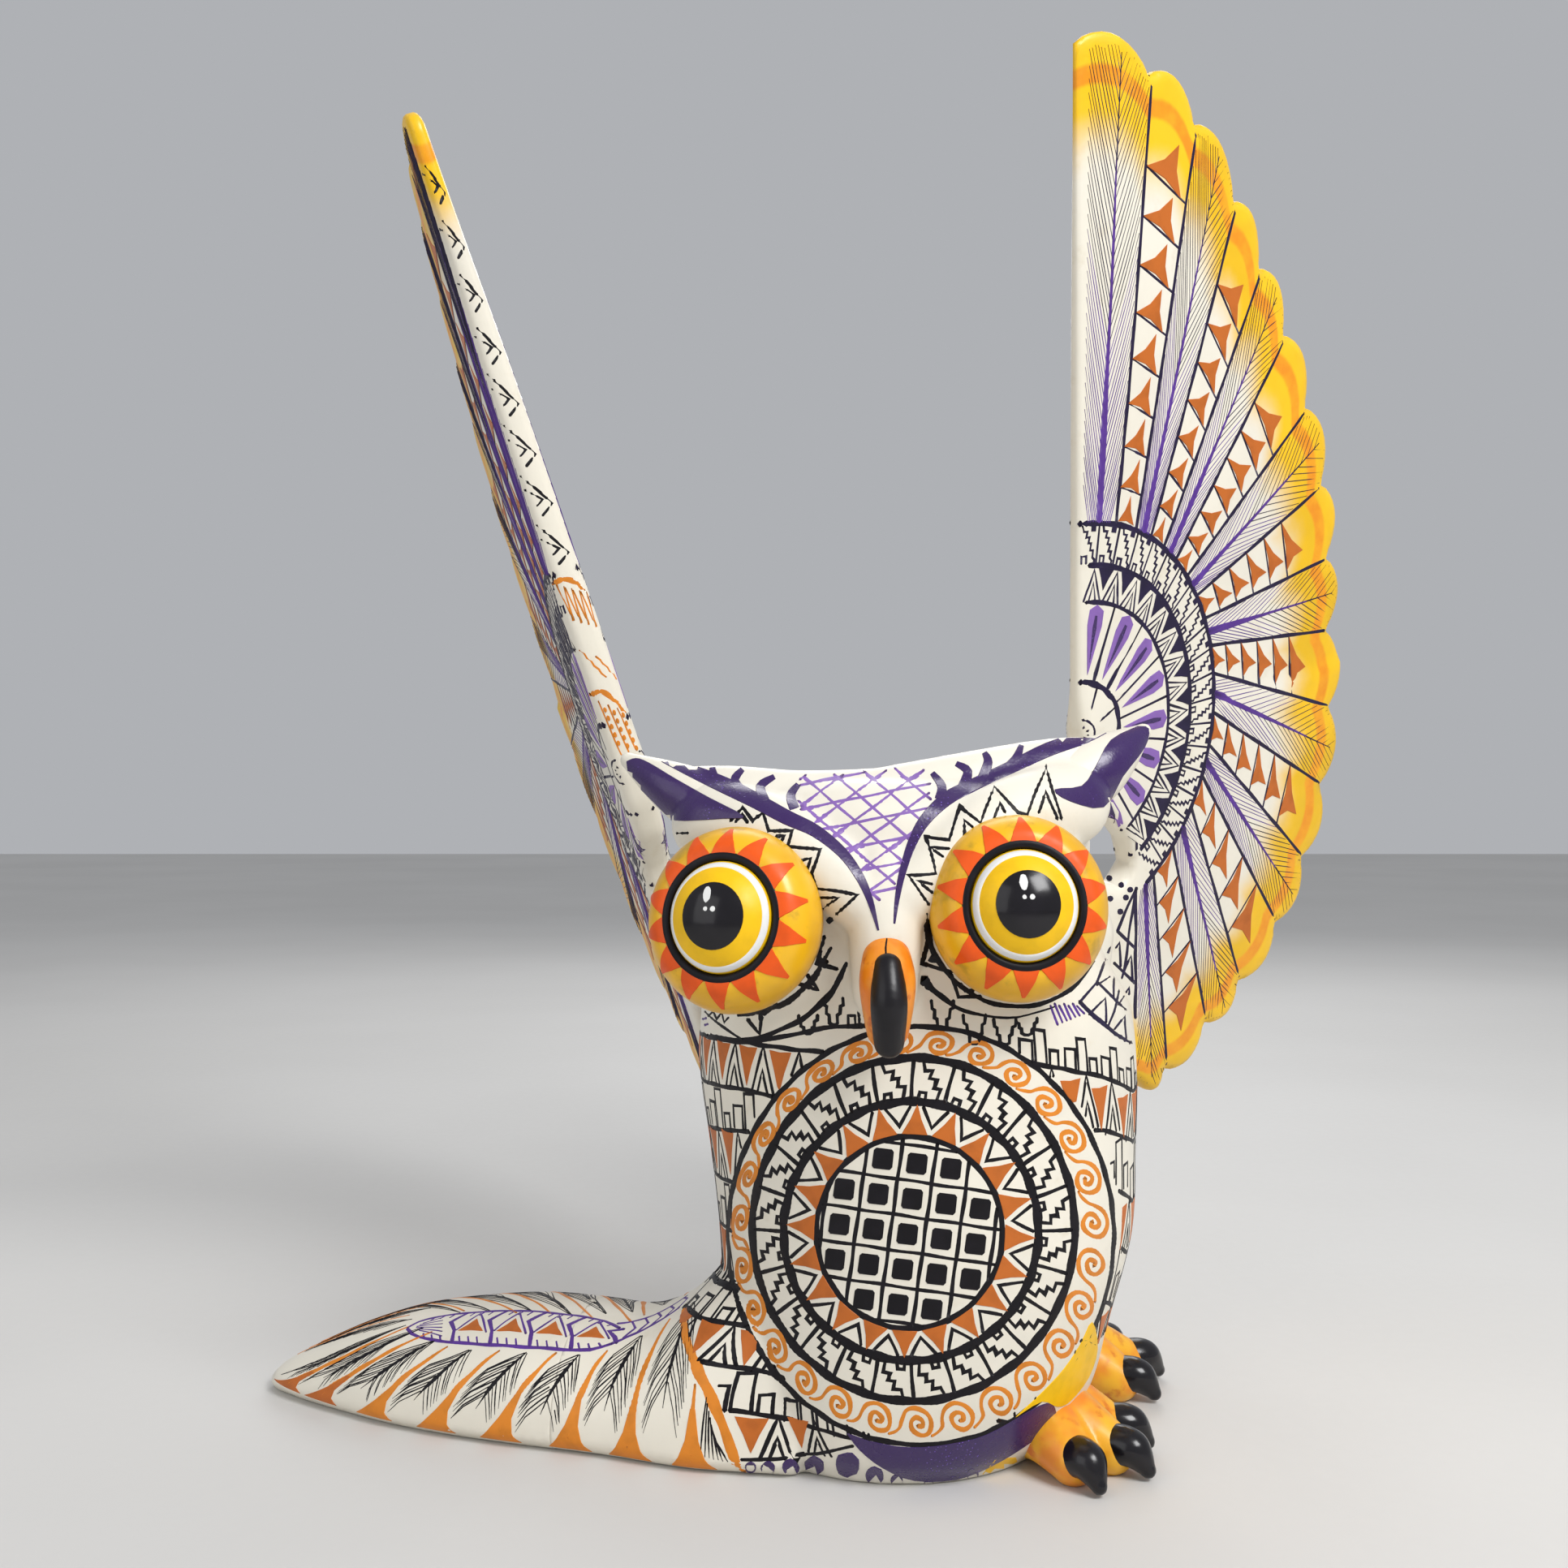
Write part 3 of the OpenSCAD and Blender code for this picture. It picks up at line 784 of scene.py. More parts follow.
class Wing:
    """Where one wing board stands; its own x runs away from the leading edge, y up it and z off the face."""

    def __init__(self, name, at, lean, turn, edge_left):
        self.name = name
        self.edge_left = edge_left
        self.matrix = (Matrix.Translation(Vector(at)) @ Matrix.Rotation(math.radians(turn), 4, "Z")
                       @ Matrix.Rotation(math.radians(90 + lean), 4, "X")
                       @ Matrix.Rotation(math.radians(WING_ROLL), 4, "Z"))

    def place(self, p):
        return self.matrix @ Vector(p)

    def thinning(self, x, y):
        """Share of the full thickness left by carving at a place on the board."""
        if y < 0:
            return 1.0
        away = table([(0, 1.0), (40, 0.97), (90, 0.82), (146, 0.5)], math.hypot(x, y))
        edge = self.edge_left + (1 - self.edge_left) * smoothstep(0, 16, x + max(0.0, 12 - y))
        return away * edge

    def make(self):
        verts, faces = board(wing_outline(), WING_T)
        verts = [(x, y, z * self.thinning(x, y)) for x, y, z in verts]
        tenon = [(x, y, z) for z in (TENON_T / 2, -TENON_T / 2) for x, y in tenon_outline()]
        faces = faces + [tuple(i + len(verts) for i in f) for f in PRISM_FACES]
        placed = [self.place(v) for v in verts + tenon]
        obj = mesh_object(f"{self.name}_carved", placed, faces, wing_cream, self.name)
        fields = [rim_fields(x, y) for x, y, _ in verts] + [(FAR_FROM_RIM, FAR_FROM_RIM)] * len(tenon)
        for name, values in zip(("rim", "arc"), zip(*fields)):
            point_field(obj, name, values)
        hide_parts(self.name)
        face_outwards(obj)
        return obj


def tenon_outline():
    """Corners of the tenon in the plane of the board."""
    near, far = TENON_SIDE, TENON_SIDE + TENON_W
    tip, root = ROOT_FLOOR - TENON_LEN, ROOT_FLOOR + 1
    return [root_point(tip, near), root_point(tip, far), root_point(root, far), root_point(root, near)]


WINGS = [Wing("left_wing", (39.2, 22, 152), 13.3, 36.7, 0.5),
         Wing("right_wing", (-62, 24, 143.5), -20.1, 101.8, 0.95)]


# ---- ears, eyes, beak, feet ------------------------------------------------

# Points along each ear and its radius there
LEFT_EAR = [(25, -14.5, 135.5, 9.8), (38.2, -12.8, 143.4, 7.9), (48.4, -9.2, 150.9, 2.1)]
RIGHT_EAR = [(-35, -20, 131.5, 9.3), (-48.8, -18.5, 138.8, 6.5), (-59.2, -14.2, 144.8, 2.0)]
# Middle of each eye, its turn in degrees and how much narrower than round it is
LEFT_EYE = ((18.0, -41.5, 116.3), 1, 0.955)
RIGHT_EYE = ((-36.9, -40.7, 114), -18, 0.95)
# How far the eyes look up, in degrees
EYE_TILT = 8
# Radius and thickness of the eye ring, then radius and rise of the domed insert
RING_R = 18.0
RING_T = 7.0
DOME_R = 10.6
DOME_RISE = 5.5
# Outer radius of the white line round the dome
WHITE_OUTER = 10.35


def make_ear(name, points):
    shape = horn([p[:3] for p in points], [p[3] for p in points], squash=0.88)
    ear = carved(f"{name}_carved", [shape], 0.6, 4, material=cream)
    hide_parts(name)
    return ear


def eye_matrix(eye):
    at, yaw, narrow = eye
    return (Matrix.Translation(Vector(at)) @ Matrix.Rotation(math.radians(yaw), 4, "Z")
            @ Matrix.Rotation(math.radians(90 - EYE_TILT), 4, "X") @ Matrix.Diagonal((narrow, 1, 1, 1)))


def turned(name, profile, matrix, material, node, segments=96):
    """Solid of revolution round local z, from (radius, z) points starting and ending on the axis side."""
    rows = []
    for r, z in profile:
        rows.append([matrix @ Vector((r * math.cos(a), r * math.sin(a), z)) for a in round_turn(segments)])
    verts, faces = loft(rows)
    obj = mesh_object(name, verts, faces, material, "figure")
    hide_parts(node)


def hoop(name, profile, matrix, material, segments=96):
    """Open strip of revolution round local z."""
    count = len(profile)
    verts = [matrix @ Vector((r * math.cos(a), r * math.sin(a), z))
             for a in round_turn(segments) for r, z in profile]
    faces = []
    for i in range(segments):
        here, there = i * count, (i + 1) % segments * count
        faces += [(here + k + 1, there + k + 1, there + k, here + k) for k in range(count - 1)]
    mesh_object(name, verts, faces, material, "figure")


def dome_height(r):
    """Height of the domed insert at a distance from its middle."""
    ball_r = (DOME_R**2 + DOME_RISE**2) / (2 * DOME_RISE)
    return RING_T + DOME_RISE - ball_r + math.sqrt(ball_r**2 - r**2)


def make_eye(side, eye, white_inner):
    """Yellow ring and domed insert, with a black lip between them and a white line on the dome."""
    matrix = eye_matrix(eye)
    black_lip = [(12.35, RING_T - 0.1), (12.15, RING_T + 0.08), (11.3, RING_T + 0.1), (10.95, RING_T - 0.1),
                 (10.8, RING_T - 0.45), (10.68, RING_T - 1.7)]
    hoop(f"{side}_eye_black_lip", black_lip, matrix, PAINTS["black"])
    ring = [(RING_R - 1.0, -7.0), (RING_R - 0.1, -3.0), (RING_R, -0.5), (RING_R - 0.4, 1.4),
            (RING_R - 1.1, 3.1), (RING_R - 2.0, 4.6), (RING_R - 3.1, 5.8), (RING_R - 4.4, 6.6),
            (DOME_R + 0.9, RING_T - 0.1), (DOME_R + 0.3, RING_T - 0.5), (DOME_R + 0.15, RING_T - 1.6)]
    turned(f"{side}_eye_ring_turned", ring, matrix, ring_yellow, f"{side}_eye_ring")
    dome = [(DOME_R, RING_T - 4.5), (DOME_R, RING_T - 0.2)]
    dome += [(r, dome_height(r)) for r in (DOME_R * (1 - k / 19.0) for k in range(1, 19))]
    turned(f"{side}_eye_dome_turned", dome, matrix, PAINTS["yellow"], f"{side}_eye_dome")
    middle = (white_inner + WHITE_OUTER) / 2
    line = ((WHITE_OUTER, -PAINT_SINK), (WHITE_OUTER - 0.12, PAINT_RISE), (middle, PAINT_RISE),
            (white_inner + 0.12, PAINT_RISE), (white_inner, -PAINT_SINK))
    hoop(f"{side}_eye_white_ring", [(r, dome_height(r) + rise) for r, rise in line], matrix, PAINTS["white"])


def make_beak():
    surround = horn([(-7.5, -40, 110.5), (-7.5, -46.2, 103), (-7.3, -43.5, 93.5)], [3.6, 5.4, 4.2])
    surround = carved("beak_surround_carved", [surround], 0.5, 3, material=beak_orange)
    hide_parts("beak_surround")
    tip = horn([(-7.6, -48.6, 105.6), (-7.5, -50.8, 99), (-7.3, -47.6, 91.4)], [2.9, 3.5, 2.9])
    tip = carved("beak_tip_carved", [tip], 0.4, 2, material=beak_black)
    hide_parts("beak_tip")


# Each foot spreads three toes from its ankle, and each toe ends in a claw
NEAR_FOOT = {"name": "near_foot", "ankle": (21, -7, 9), "toes": [(31, -26), (39.5, -20.5), (41, -9.5)]}
FAR_FOOT = {"name": "far_foot", "ankle": (31, 26, 9), "toes": [(49, 20), (53, 31), (48, 41)]}
CLAWS = ("front", "middle", "back")
# Distance past the end of the toe, height and radius along a claw
CLAW = ((1.2, 5.6, 4.3), (5.0, 5.4, 3.9), (8.2, 2.2, 1.7))


def make_foot(foot):
    ankle = Vector(foot["ankle"])
    shapes = []
    for x, y in foot["toes"]:
        toe = Vector((x, y, 4.6))
        middle = ankle.lerp(toe, 0.55) + Vector((0, 0, 1.6))
        shapes.append(horn([ankle, middle, toe], [11.5, 7.6, 5.2]))
    piece = carved(f"{foot['name']}_carved", shapes, 0.6, 4, floor=0.0, material=foot_orange)
    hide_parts(foot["name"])
    for which, (x, y) in zip(CLAWS, foot["toes"]):
        make_claw(f"{foot['name']}_{which}_claw", Vector((x, y, 0)), ankle)


def make_claw(name, toe, ankle):
    """Black claw that runs on from the end of a toe, away from the ankle."""
    way = Vector((toe.x - ankle.x, toe.y - ankle.y, 0)).normalized()
    path = [toe + way * past + Vector((0, 0, z)) for past, z, _ in CLAW]
    shape = horn(path, [radius for _, _, radius in CLAW])
    claw = carved(f"{name}_carved", [shape], 0.45, 3, floor=0.0, material=claw_black)
    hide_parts(name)


def dress_hidden_pieces():
    """The dowels and pegs stay as the CAD has them, in bare wood."""
    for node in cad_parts:
        if "dowel" in node or "peg" in node:
            materials = bpy.data.objects[node].data.materials
            materials.clear()
            materials.append(bare_wood)


# ---- laying paint ----------------------------------------------------------

class Surface:
    """Skin of finished pieces, in millimetres, that paint is laid on."""

    def __init__(self, *objects):
        verts, faces = [], []
        for obj in objects:
            base = len(verts)
            verts += [v.co / MM for v in obj.data.vertices]
            faces += [tuple(i + base for i in p.vertices) for p in obj.data.polygons]
        self.tree = BVHTree.FromPolygons(verts, faces)


class Chart:
    """Flat drawing coordinates carried on to a surface along rays."""

    GRAZING = -0.07

    def __init__(self, surface):
        self.surface = surface

    def place(self, u, v, height=0.0):
        start, way = self.ray(u, v)
        point, normal, _, _ = self.surface.tree.ray_cast(start, way)
        if point is None or normal.dot(way) > self.GRAZING:
            return None
        return point + normal * height

    def turns_left(self, u, v):
        """Whether u then v runs anticlockwise seen from outside."""
        a, b, c = self.place(u, v), self.place(u + 0.5, v), self.place(u, v + 0.5)
        if not (a and b and c):
            return True
        return (b - a).cross(c - a).dot(self.ray(u, v)[1]) < 0


class WrapChart(Chart):
    """u is the distance round the trunk from its front, v the height."""

    AXIS = (2, 6)
    RADIUS = 46.0

    def ray(self, u, v):
        a = u / self.RADIUS
        out = Vector((math.sin(a), -math.cos(a), 0))
        return Vector((*self.AXIS, v)) + out * 120, -out


class FrontChart(Chart):
    """u and v are x and z as drawn on an upright sheet held before the face."""

    EYE = CAMERA_AT
    SHEET_Y = -40

    def __init__(self, surface, before=None):
        super().__init__(surface)
        self.before = before

    def ray(self, u, v):
        return self.EYE, (Vector((u, self.SHEET_Y, v)) - self.EYE).normalized()

    def place(self, u, v, height=0.0):
        point = super().place(u, v, height)
        if point and self.before:
            start, way = self.ray(u, v)
            other = self.before.tree.ray_cast(start, way)[0]
            if other and (other - start).length < (point - start).length:
                return None
        return point


class PlaneChart(Chart):
    """u and v are x and y of a piece's own axes, seen from its +z or -z side."""

    def __init__(self, surface, matrix, side=1):
        super().__init__(surface)
        self.matrix = matrix
        self.side = side
        self.way = (matrix.to_3x3() @ Vector((0, 0, -side))).normalized()

    def ray(self, u, v):
        return self.matrix @ Vector((u, v, 40.0 * self.side)), self.way


class EdgeChart(Chart):
    """u runs across the thickness of a wing and v up its leading edge."""

    def __init__(self, surface, matrix):
        super().__init__(surface)
        self.matrix = matrix
        self.way = (matrix.to_3x3() @ Vector((1, 0, 0))).normalized()

    def ray(self, u, v):
        return self.matrix @ Vector((-40, v, u)), self.way


class TailChart(Chart):
    """u runs along the tail, v is the distance round it from its ridge, positive on the near side."""

    CORE_Z = 4.0
    ROUND = 22.0
    REACH = 40.0           # clear of the tail but not yet inside the trunk

    def ray(self, u, v):
        a = v / self.ROUND
        core = tail_place(u, 0, self.CORE_Z)
        out = tail_place(u, math.sin(a), self.CORE_Z + math.cos(a)) - core
        return core + out * self.REACH, -out


class SidedTail(TailChart):
    """Tail chart that can be mirrored to the far side."""

    def __init__(self, surface, side):
        super().__init__(surface)
        self.side = side

    def ray(self, u, v):
        return super().ray(u, v * self.side)


class Brush:
    """Lays beads and patches of paint through a chart."""

    # vertices and faces so far, for each group, body and colour
    work = {}
    # smaller patches than this are left out
    LEAST_AREA = 0.05
    LEAST_GRID = 0.75
    # how far the edge of a patch slopes outwards
    SKIRT = 0.14

    def __init__(self, group, body, chart, pitch=1.4, keep=None, wobble=0.07, jump=None):
        self.group, self.body, self.chart = group, body, chart
        self.pitch, self.keep, self.wobble = pitch, keep, wobble
        # a line breaks off where the surface drops away by more than this
        self.jump = jump or 2.5 * pitch + 0.4
        self.unsteady = random.Random(len(group) * 31 + 5)

    def store(self, colour, verts, faces, u, v):
        """Adds faces that were drawn anticlockwise on the chart, turned to face outwards."""
        if not faces:
            return
        if not self.chart.turns_left(u, v):
            faces = [tuple(reversed(f)) for f in faces]
        all_verts, all_faces = Brush.work.setdefault((self.group, self.body, colour), ([], []))
        base = len(all_verts)
        all_verts.extend(verts)
        all_faces.extend(tuple(i + base for i in f) for f in faces)

    def line(self, colour, points, width, closed=False, ends=(1.0, 1.0)):
        """Bead along a polyline; width in mm, or (x, y, width) points; ends scale the width at the ends."""
        pts = [(p[0], p[1], p[2] if len(p) > 2 else width) for p in points]
        if closed:
            pts.append(pts[0])
        path = [pts[0]]
        for a, b in zip(pts, pts[1:]):
            steps = max(1, math.ceil(math.dist(a[:2], b[:2]) / self.pitch))
            path += [tuple(a[i] + (b[i] - a[i]) * k / steps for i in range(3)) for k in range(1, steps + 1)]
        shaky = self.shaken(path, ends)
        if closed:
            shaky[-1] = shaky[0]
        run = []
        for p in shaky:
            if self.keep and not self.keep(p[0], p[1]):
                self.bead(colour, run)
                run = []
            else:
                run.append(p)
        self.bead(colour, run, closed and len(run) == len(shaky))

    def shaken(self, path, ends):
        """The path with the wobble and the uneven width of a hand-held brush."""
        phase = [self.unsteady.uniform(0, 6.28) for _ in range(3)]
        drift = self.wobble * min(1.0, len(path) / 6)
        shaky = []
        for k, (x, y, w) in enumerate(path):
            t = k / max(1, len(path) - 1)
            swell = ends[0] + (1 - ends[0]) * min(1, t * 3)
            fade = ends[1] + (1 - ends[1]) * min(1, (1 - t) * 3)
            w *= swell * fade
            w *= 1 + 0.13 * math.sin(k * 0.9 + phase[2])
            x += drift * math.sin(k * 0.8 + phase[0])
            y += drift * math.sin(k * 0.7 + phase[1])
            shaky.append((x, y, w))
        return shaky

    def bead(self, colour, run, closed=False):
        """Low rounded ribbon through points, broken where the surface cannot be reached."""
        if len(run) < 2:
            return
        rows = []
        last = len(run) - 1
        for k, (x, y, w) in enumerate(run):
            before = run[k - 1] if k else (run[last - 1] if closed else run[0])
            after = run[k + 1] if k < last else (run[1] if closed else run[last])
            heading = corner_heading(before, (x, y), after)
            if not heading:
                continue
            tx, ty, mitre = heading
            half = w * 0.9 * mitre
            left = self.chart.place(x - ty * half, y + tx * half, -PAINT_SINK)
            middle = self.chart.place(x, y, PAINT_RISE + 0.02 * w)
            right = self.chart.place(x + ty * half, y - tx * half, -PAINT_SINK)
            if not (left and middle and right):
                self.ribbon(colour, rows, run[0], False)
                rows = []
                continue
            rows.append((left, middle, right))
        self.ribbon(colour, rows, run[0], closed)

    def ribbon(self, colour, rows, where, closed):
        """Faces between rows of left, middle and right points, with a pointed tip at each open end."""
        if len(rows) < 2:
            return
        verts, faces = [], []
        for k, row in enumerate(rows):
            verts += row
            if k and (row[1] - rows[k - 1][1]).length < self.jump:
                a, b = 3 * k - 3, 3 * k
                faces += [(a, a + 1, b + 1, b), (a + 1, a + 2, b + 2, b + 1)]
        ends = () if closed else ((0, 1), (len(rows) - 1, len(rows) - 2))
        for end, inner in ends:
            left, middle, right = rows[end]
            way = middle - rows[inner][1]
            if way.length < 1e-6:
                continue
            tip = middle + way.normalized() * (left - right).length * 0.4
            verts.append(tip + ((left + right) / 2 - middle))
            t, a = len(verts) - 1, 3 * end
            pair = [(a, t, a + 1), (a + 1, t, a + 2)]
            faces += pair if end else [tuple(reversed(f)) for f in pair]
        # left, middle, right runs clockwise seen from outside when u then v runs anticlockwise
        self.store(colour, verts, [tuple(reversed(f)) for f in faces], where[0], where[1])

    def fill(self, colour, outline, pitch=None, height=0.0):
        """Patch of paint with the given outline."""
        pitch = pitch or self.pitch
        pts = dense([(p[0], p[1]) for p in outline], pitch)
        cx, cy = (sum(p[k] for p in pts) / len(pts) for k in (0, 1))
        if self.keep:
            if not self.keep(cx, cy):
                return
            pts = [self.pull_in(p, (cx, cy)) for p in pts]
        area = sum(a[0] * b[1] - a[1] * b[0] for a, b in zip(pts, pts[1:] + pts[:1])) / 2
        if abs(area) < self.LEAST_AREA:
            return
        if area < 0:
            pts.reverse()
        grid_pitch = max(pitch, self.LEAST_GRID)
        flat, tris = triangulated(pts, grid_inside(pts, grid_pitch, grid_pitch / 2, grid_pitch * 0.5))
        rise = PAINT_RISE + (height + PATCH_EXTRA)
        verts = [self.chart.place(p[0], p[1], rise) for p in flat]
        faces = [tuple(t) for t in tris if all(verts[i] for i in t)]
        base = len(verts)
        verts += self.skirt(pts, rise)
        for i in range(len(pts)):
            j = (i + 1) % len(pts)
            side = (base + 2 * i, base + 2 * j, base + 2 * j + 1, base + 2 * i + 1)
            if all(verts[k] for k in side):
                faces.append(side)
        used = sorted({i for f in faces for i in f})
        renumber = {old: new for new, old in enumerate(used)}
        self.store(colour, [verts[i] for i in used], [tuple(renumber[i] for i in f) for f in faces], cx, cy)

    def skirt(self, pts, rise):
        """Points under and on the edge of a patch, in pairs."""
        out = []
        for i, p in enumerate(pts):
            a, b = pts[i - 1], pts[(i + 1) % len(pts)]
            tx, ty = b[0] - a[0], b[1] - a[1]
            size = math.hypot(tx, ty) or 1.0
            low = (p[0] + ty / size * self.SKIRT, p[1] - tx / size * self.SKIRT)
            out += [self.chart.place(*low, -PAINT_SINK), self.chart.place(p[0], p[1], rise)]
        return out

    def pull_in(self, p, centre):
        """Point moved towards the centre until it may be painted."""
        for k in range(12):
            t = k / 12
            q = (p[0] + (centre[0] - p[0]) * t, p[1] + (centre[1] - p[1]) * t)
            if self.keep(*q):
                return q
        return centre

    def dot(self, colour, x, y, rx, ry=None, points=12, height=0.06):
        """Slightly lumpy round or oval patch."""
        ry = ry or rx
        outline = []
        for a in round_turn(points):
            lump = 1 + 0.07 * self.unsteady.uniform(-1, 1)
            outline.append((x + rx * lump * math.cos(a), y + ry * lump * math.sin(a)))
        self.fill(colour, outline, height=height)


def corner_heading(before, here, after):
    """Direction of a line at one of its points, and how much the corner there widens it."""
    ways = []
    for a, b in ((before, here), (here, after)):
        length = math.dist(a[:2], b[:2])
        if length > 1e-6:
            ways.append(((b[0] - a[0]) / length, (b[1] - a[1]) / length))
    if not ways:
        return None
    tx, ty = sum(way[0] for way in ways), sum(way[1] for way in ways)
    size = math.hypot(tx, ty)
    if size < 0.3:
        # the line doubles back
        tx, ty, size = *ways[-1], 1.0
    return tx / size, ty / size, min(1.6, 1 / max(0.4, size / len(ways)))


def finish_paintwork():
    """One object for each colour on each piece."""
    for (group, body, colour), (verts, faces) in Brush.work.items():
        mesh_object(f"{group}_{colour}_paint", verts, faces, PAINTS[colour], body)


def curve(points, steps=6):
    """Smooth line through (x, y) or (x, y, width) points."""
    out = []
    last = len(points) - 1
    for k in range(last):
        near = [points[min(max(i, 0), last)] for i in (k - 1, k, k + 1, k + 2)]
        for t in (s / steps for s in range(steps)):
            out.append(tuple(0.5 * (2 * b + (c - a) * t + (2 * a - 5 * b + 4 * c - d) * t**2
                                    + (3 * b - a - 3 * c + d) * t**3) for a, b, c, d in zip(*near)))
    return out + [tuple(points[-1])]


def smooth_outline(points):
    """Closed outline curved through points."""
    return curve(points + points[:1], 3)[:-1]


def swept(points):
    """Outline of a brush stroke along (x, y, width) points."""
    line = curve(points, 4)
    left, right = [], []
    for k, (x, y, w) in enumerate(line):
        a, b = line[max(k - 1, 0)], line[min(k + 1, len(line) - 1)]
        size = math.dist(a[:2], b[:2])
        nx, ny = (a[1] - b[1]) / size, (b[0] - a[0]) / size
        left.append((x + nx * w / 2, y + ny * w / 2))
        right.append((x - nx * w / 2, y - ny * w / 2))
    return left + right[::-1]


def circle(radius, points):
    """Points round a circle, clockwise from the top."""
    return [(radius * math.sin(a), radius * math.cos(a)) for a in round_turn(points)]


def concave(points, sag=0.16):
    """Outline through corners with every side bowed inwards."""
    cx, cy = (sum(p[k] for p in points) / len(points) for k in (0, 1))
    out = []
    for a, b in zip(points, points[1:] + points[:1]):
        out.append(a)
        middle = ((a[0] + b[0]) / 2, (a[1] + b[1]) / 2)
        out.append((middle[0] + (cx - middle[0]) * sag * 2, middle[1] + (cy - middle[1]) * sag * 2))
    return out


# ---- paint on the wings ----------------------------------------------------

# Angle at which the line between two feathers leaves the outer ring
ROOT_ANGLES = [13.3, 21.3, 28.3, 35, 41.8, 49.3, 57, 65.3, 74.2, 82.9, 94.7, 104.3, 113.7, 123.6, 136.6,
               147.7]
RING_END = 152.0
# Lines keep this far from the leading edge
LINE_FREE = 0.6
# The painted rings are narrower across the wing than along it
RING_SQUEEZE = 0.905


def hub(angle, radius):
    """Place in the rings round the middle of the fan."""
    x, y = polar(angle, radius)
    return x * RING_SQUEEZE, y


class Feather:
    """One painted feather between two lines; s runs across it and t from the ring to the rim."""

    def __init__(self, index):
        # the first and the last feather end at the edges of the fan
        roots = [1.0, *ROOT_ANGLES, 156.0]
        tips = [(1.0, 144), *NOTCHES, (169, 95)]
        self.near = hub(roots[index], RINGS[0] + 0.3), polar(*tips[index])
        self.far = hub(roots[index + 1], RINGS[0] + 0.3), polar(*tips[index + 1])
        self.length = (math.dist(*self.near) + math.dist(*self.far)) / 2

    def at(self, s, t):
        near = [a + (b - a) * t for a, b in zip(*self.near)]
        far = [a + (b - a) * t for a, b in zip(*self.far)]
        return tuple(a + (b - a) * s for a, b in zip(near, far))


def clip_to_rim(a, b, margin):
    """Second point brought back along the line until it lies inside the rim."""
    for k in range(21):
        t = 1 - k / 20
        p = (a[0] + (b[0] - a[0]) * t, a[1] + (b[1] - a[1]) * t)
        if math.hypot(*p) < rim_radius(math.degrees(math.atan2(*p)))[0] - margin and p[0] > 0.8:
            return p
    return None


def barbed_feather(brush, feather):
    """Shaft with fine barbs on both sides."""
    widths = ((0, 1.5), (0.25, 1.15), (0.5, 0.7), (0.8, 0.4), (1.02, 0.22))
    shaft = [(*feather.at(0.5, t), w) for t, w in widths]
    brush.line("purple", shaft[:4], 1)
    brush.line("navy", shaft[3:], 1)
    spacing = 2.9 / feather.length
    reach = 0.30 if feather.length < 60 else 0.26
    for edge in (0.04, 0.96):
        t = -reach * 0.8
        while t < 0.98:
            t += spacing * brush.unsteady.uniform(0.8, 1.2)
            # a barb that would start inside the ring is cut off at the ring
            start = feather.at(0.5, t) if t >= 0 else feather.at(0.5 + (edge - 0.5) * -t / reach, 0.0)
            end = clip_to_rim(start, feather.at(edge, t + reach), 2.0)
            if end and math.dist(start, end) > 2.5:
                brush.line("navy" if t > 0.4 else "purple", [start, end], 0.2, ends=(1, 0.6))


def stepped_feather(brush, feather, index):
    """Row of cells, each with an orange triangle standing on its inner line."""
    usable = feather.length - 17
    cell = 5.0 + 0.05 * usable if index < 9 else 6.5 + 0.75 * (index - 9)
    count = max(4, round(usable / cell))
    lean = 0.68 if index < 8 else (0.5 if index == 9 else 0.6)
    edges = [(k / count) ** 1.08 * usable / feather.length for k in range(count + 1)]
    for k, t in enumerate(edges):
        step = (edges[k + 1] - t) if k < count else (t - edges[k - 1]) * 1.15
        near, far = feather.at(0.0, t), feather.at(1.0, t)
        if k:
            brush.line("navy", [near, far], 0.5)
        if k == 0:
            near, far = feather.at(0.06, t + 0.006), feather.at(0.94, t + 0.006)
        corner = tuple(a + (b - a) * 0.86 for a, b in zip(near, far))
        start = tuple(a + (b - a) * 0.02 for a, b in zip(near, far))
        apex = feather.at(lean if k else 0.5, t + step * 0.86)
        brush.fill("orange", concave([start, corner, apex], 0.15))


# Outline of a drop and of the streak in it: degrees from its middle, and radius
DROP = [(0, 13.6), (3.2, 19), (5.0, 25), (4.2, 28.4), (0, 29.6), (-4.2, 28.4), (-5.0, 25), (-3.2, 19)]
STREAK = [(0, 16.5), (0.8, 20), (1.4, 24.5), (0.7, 27.2), (-0.7, 27.2), (-1.4, 24.5), (-0.8, 20)]
DROPS = 8
# Zigzag across one cell of the outer band
BAND_STEPS = [(0.2, 1.0), (0.26, 0.84), (0.42, 0.84), (0.38, 0.68), (0.54, 0.68), (0.5, 0.52), (0.66, 0.52),
              (0.62, 0.34), (0.78, 0.34), (0.76, 0.16), (0.88, 0.1), (0.86, 0.0)]
BAND_CELLS = 20
TEETH = 14


def paint_outer_band(brush):
    """Ring of cells, each with a stepped zigzag, a small arch inside and a block outside."""
    inner, outer = RINGS[1] + 0.4, RINGS[0] - 0.4
    for k in range(BAND_CELLS):
        at = lambda s, t: hub((RING_END - 2) * (k + s) / BAND_CELLS, inner + (outer - inner) * t)
        brush.line("navy", [at(0, 0), at(0, 1)], 0.5)
        brush.line("navy", [at(*p) for p in BAND_STEPS], 0.5)
        brush.line("navy", [at(0.2, 0), at(0.2, 0.2), at(0.42, 0.2), at(0.42, 0)], 0.5)
        brush.fill("navy", [at(0.62, 1.0), at(0.62, 0.84), at(0.84, 0.84), at(0.84, 1.0)])


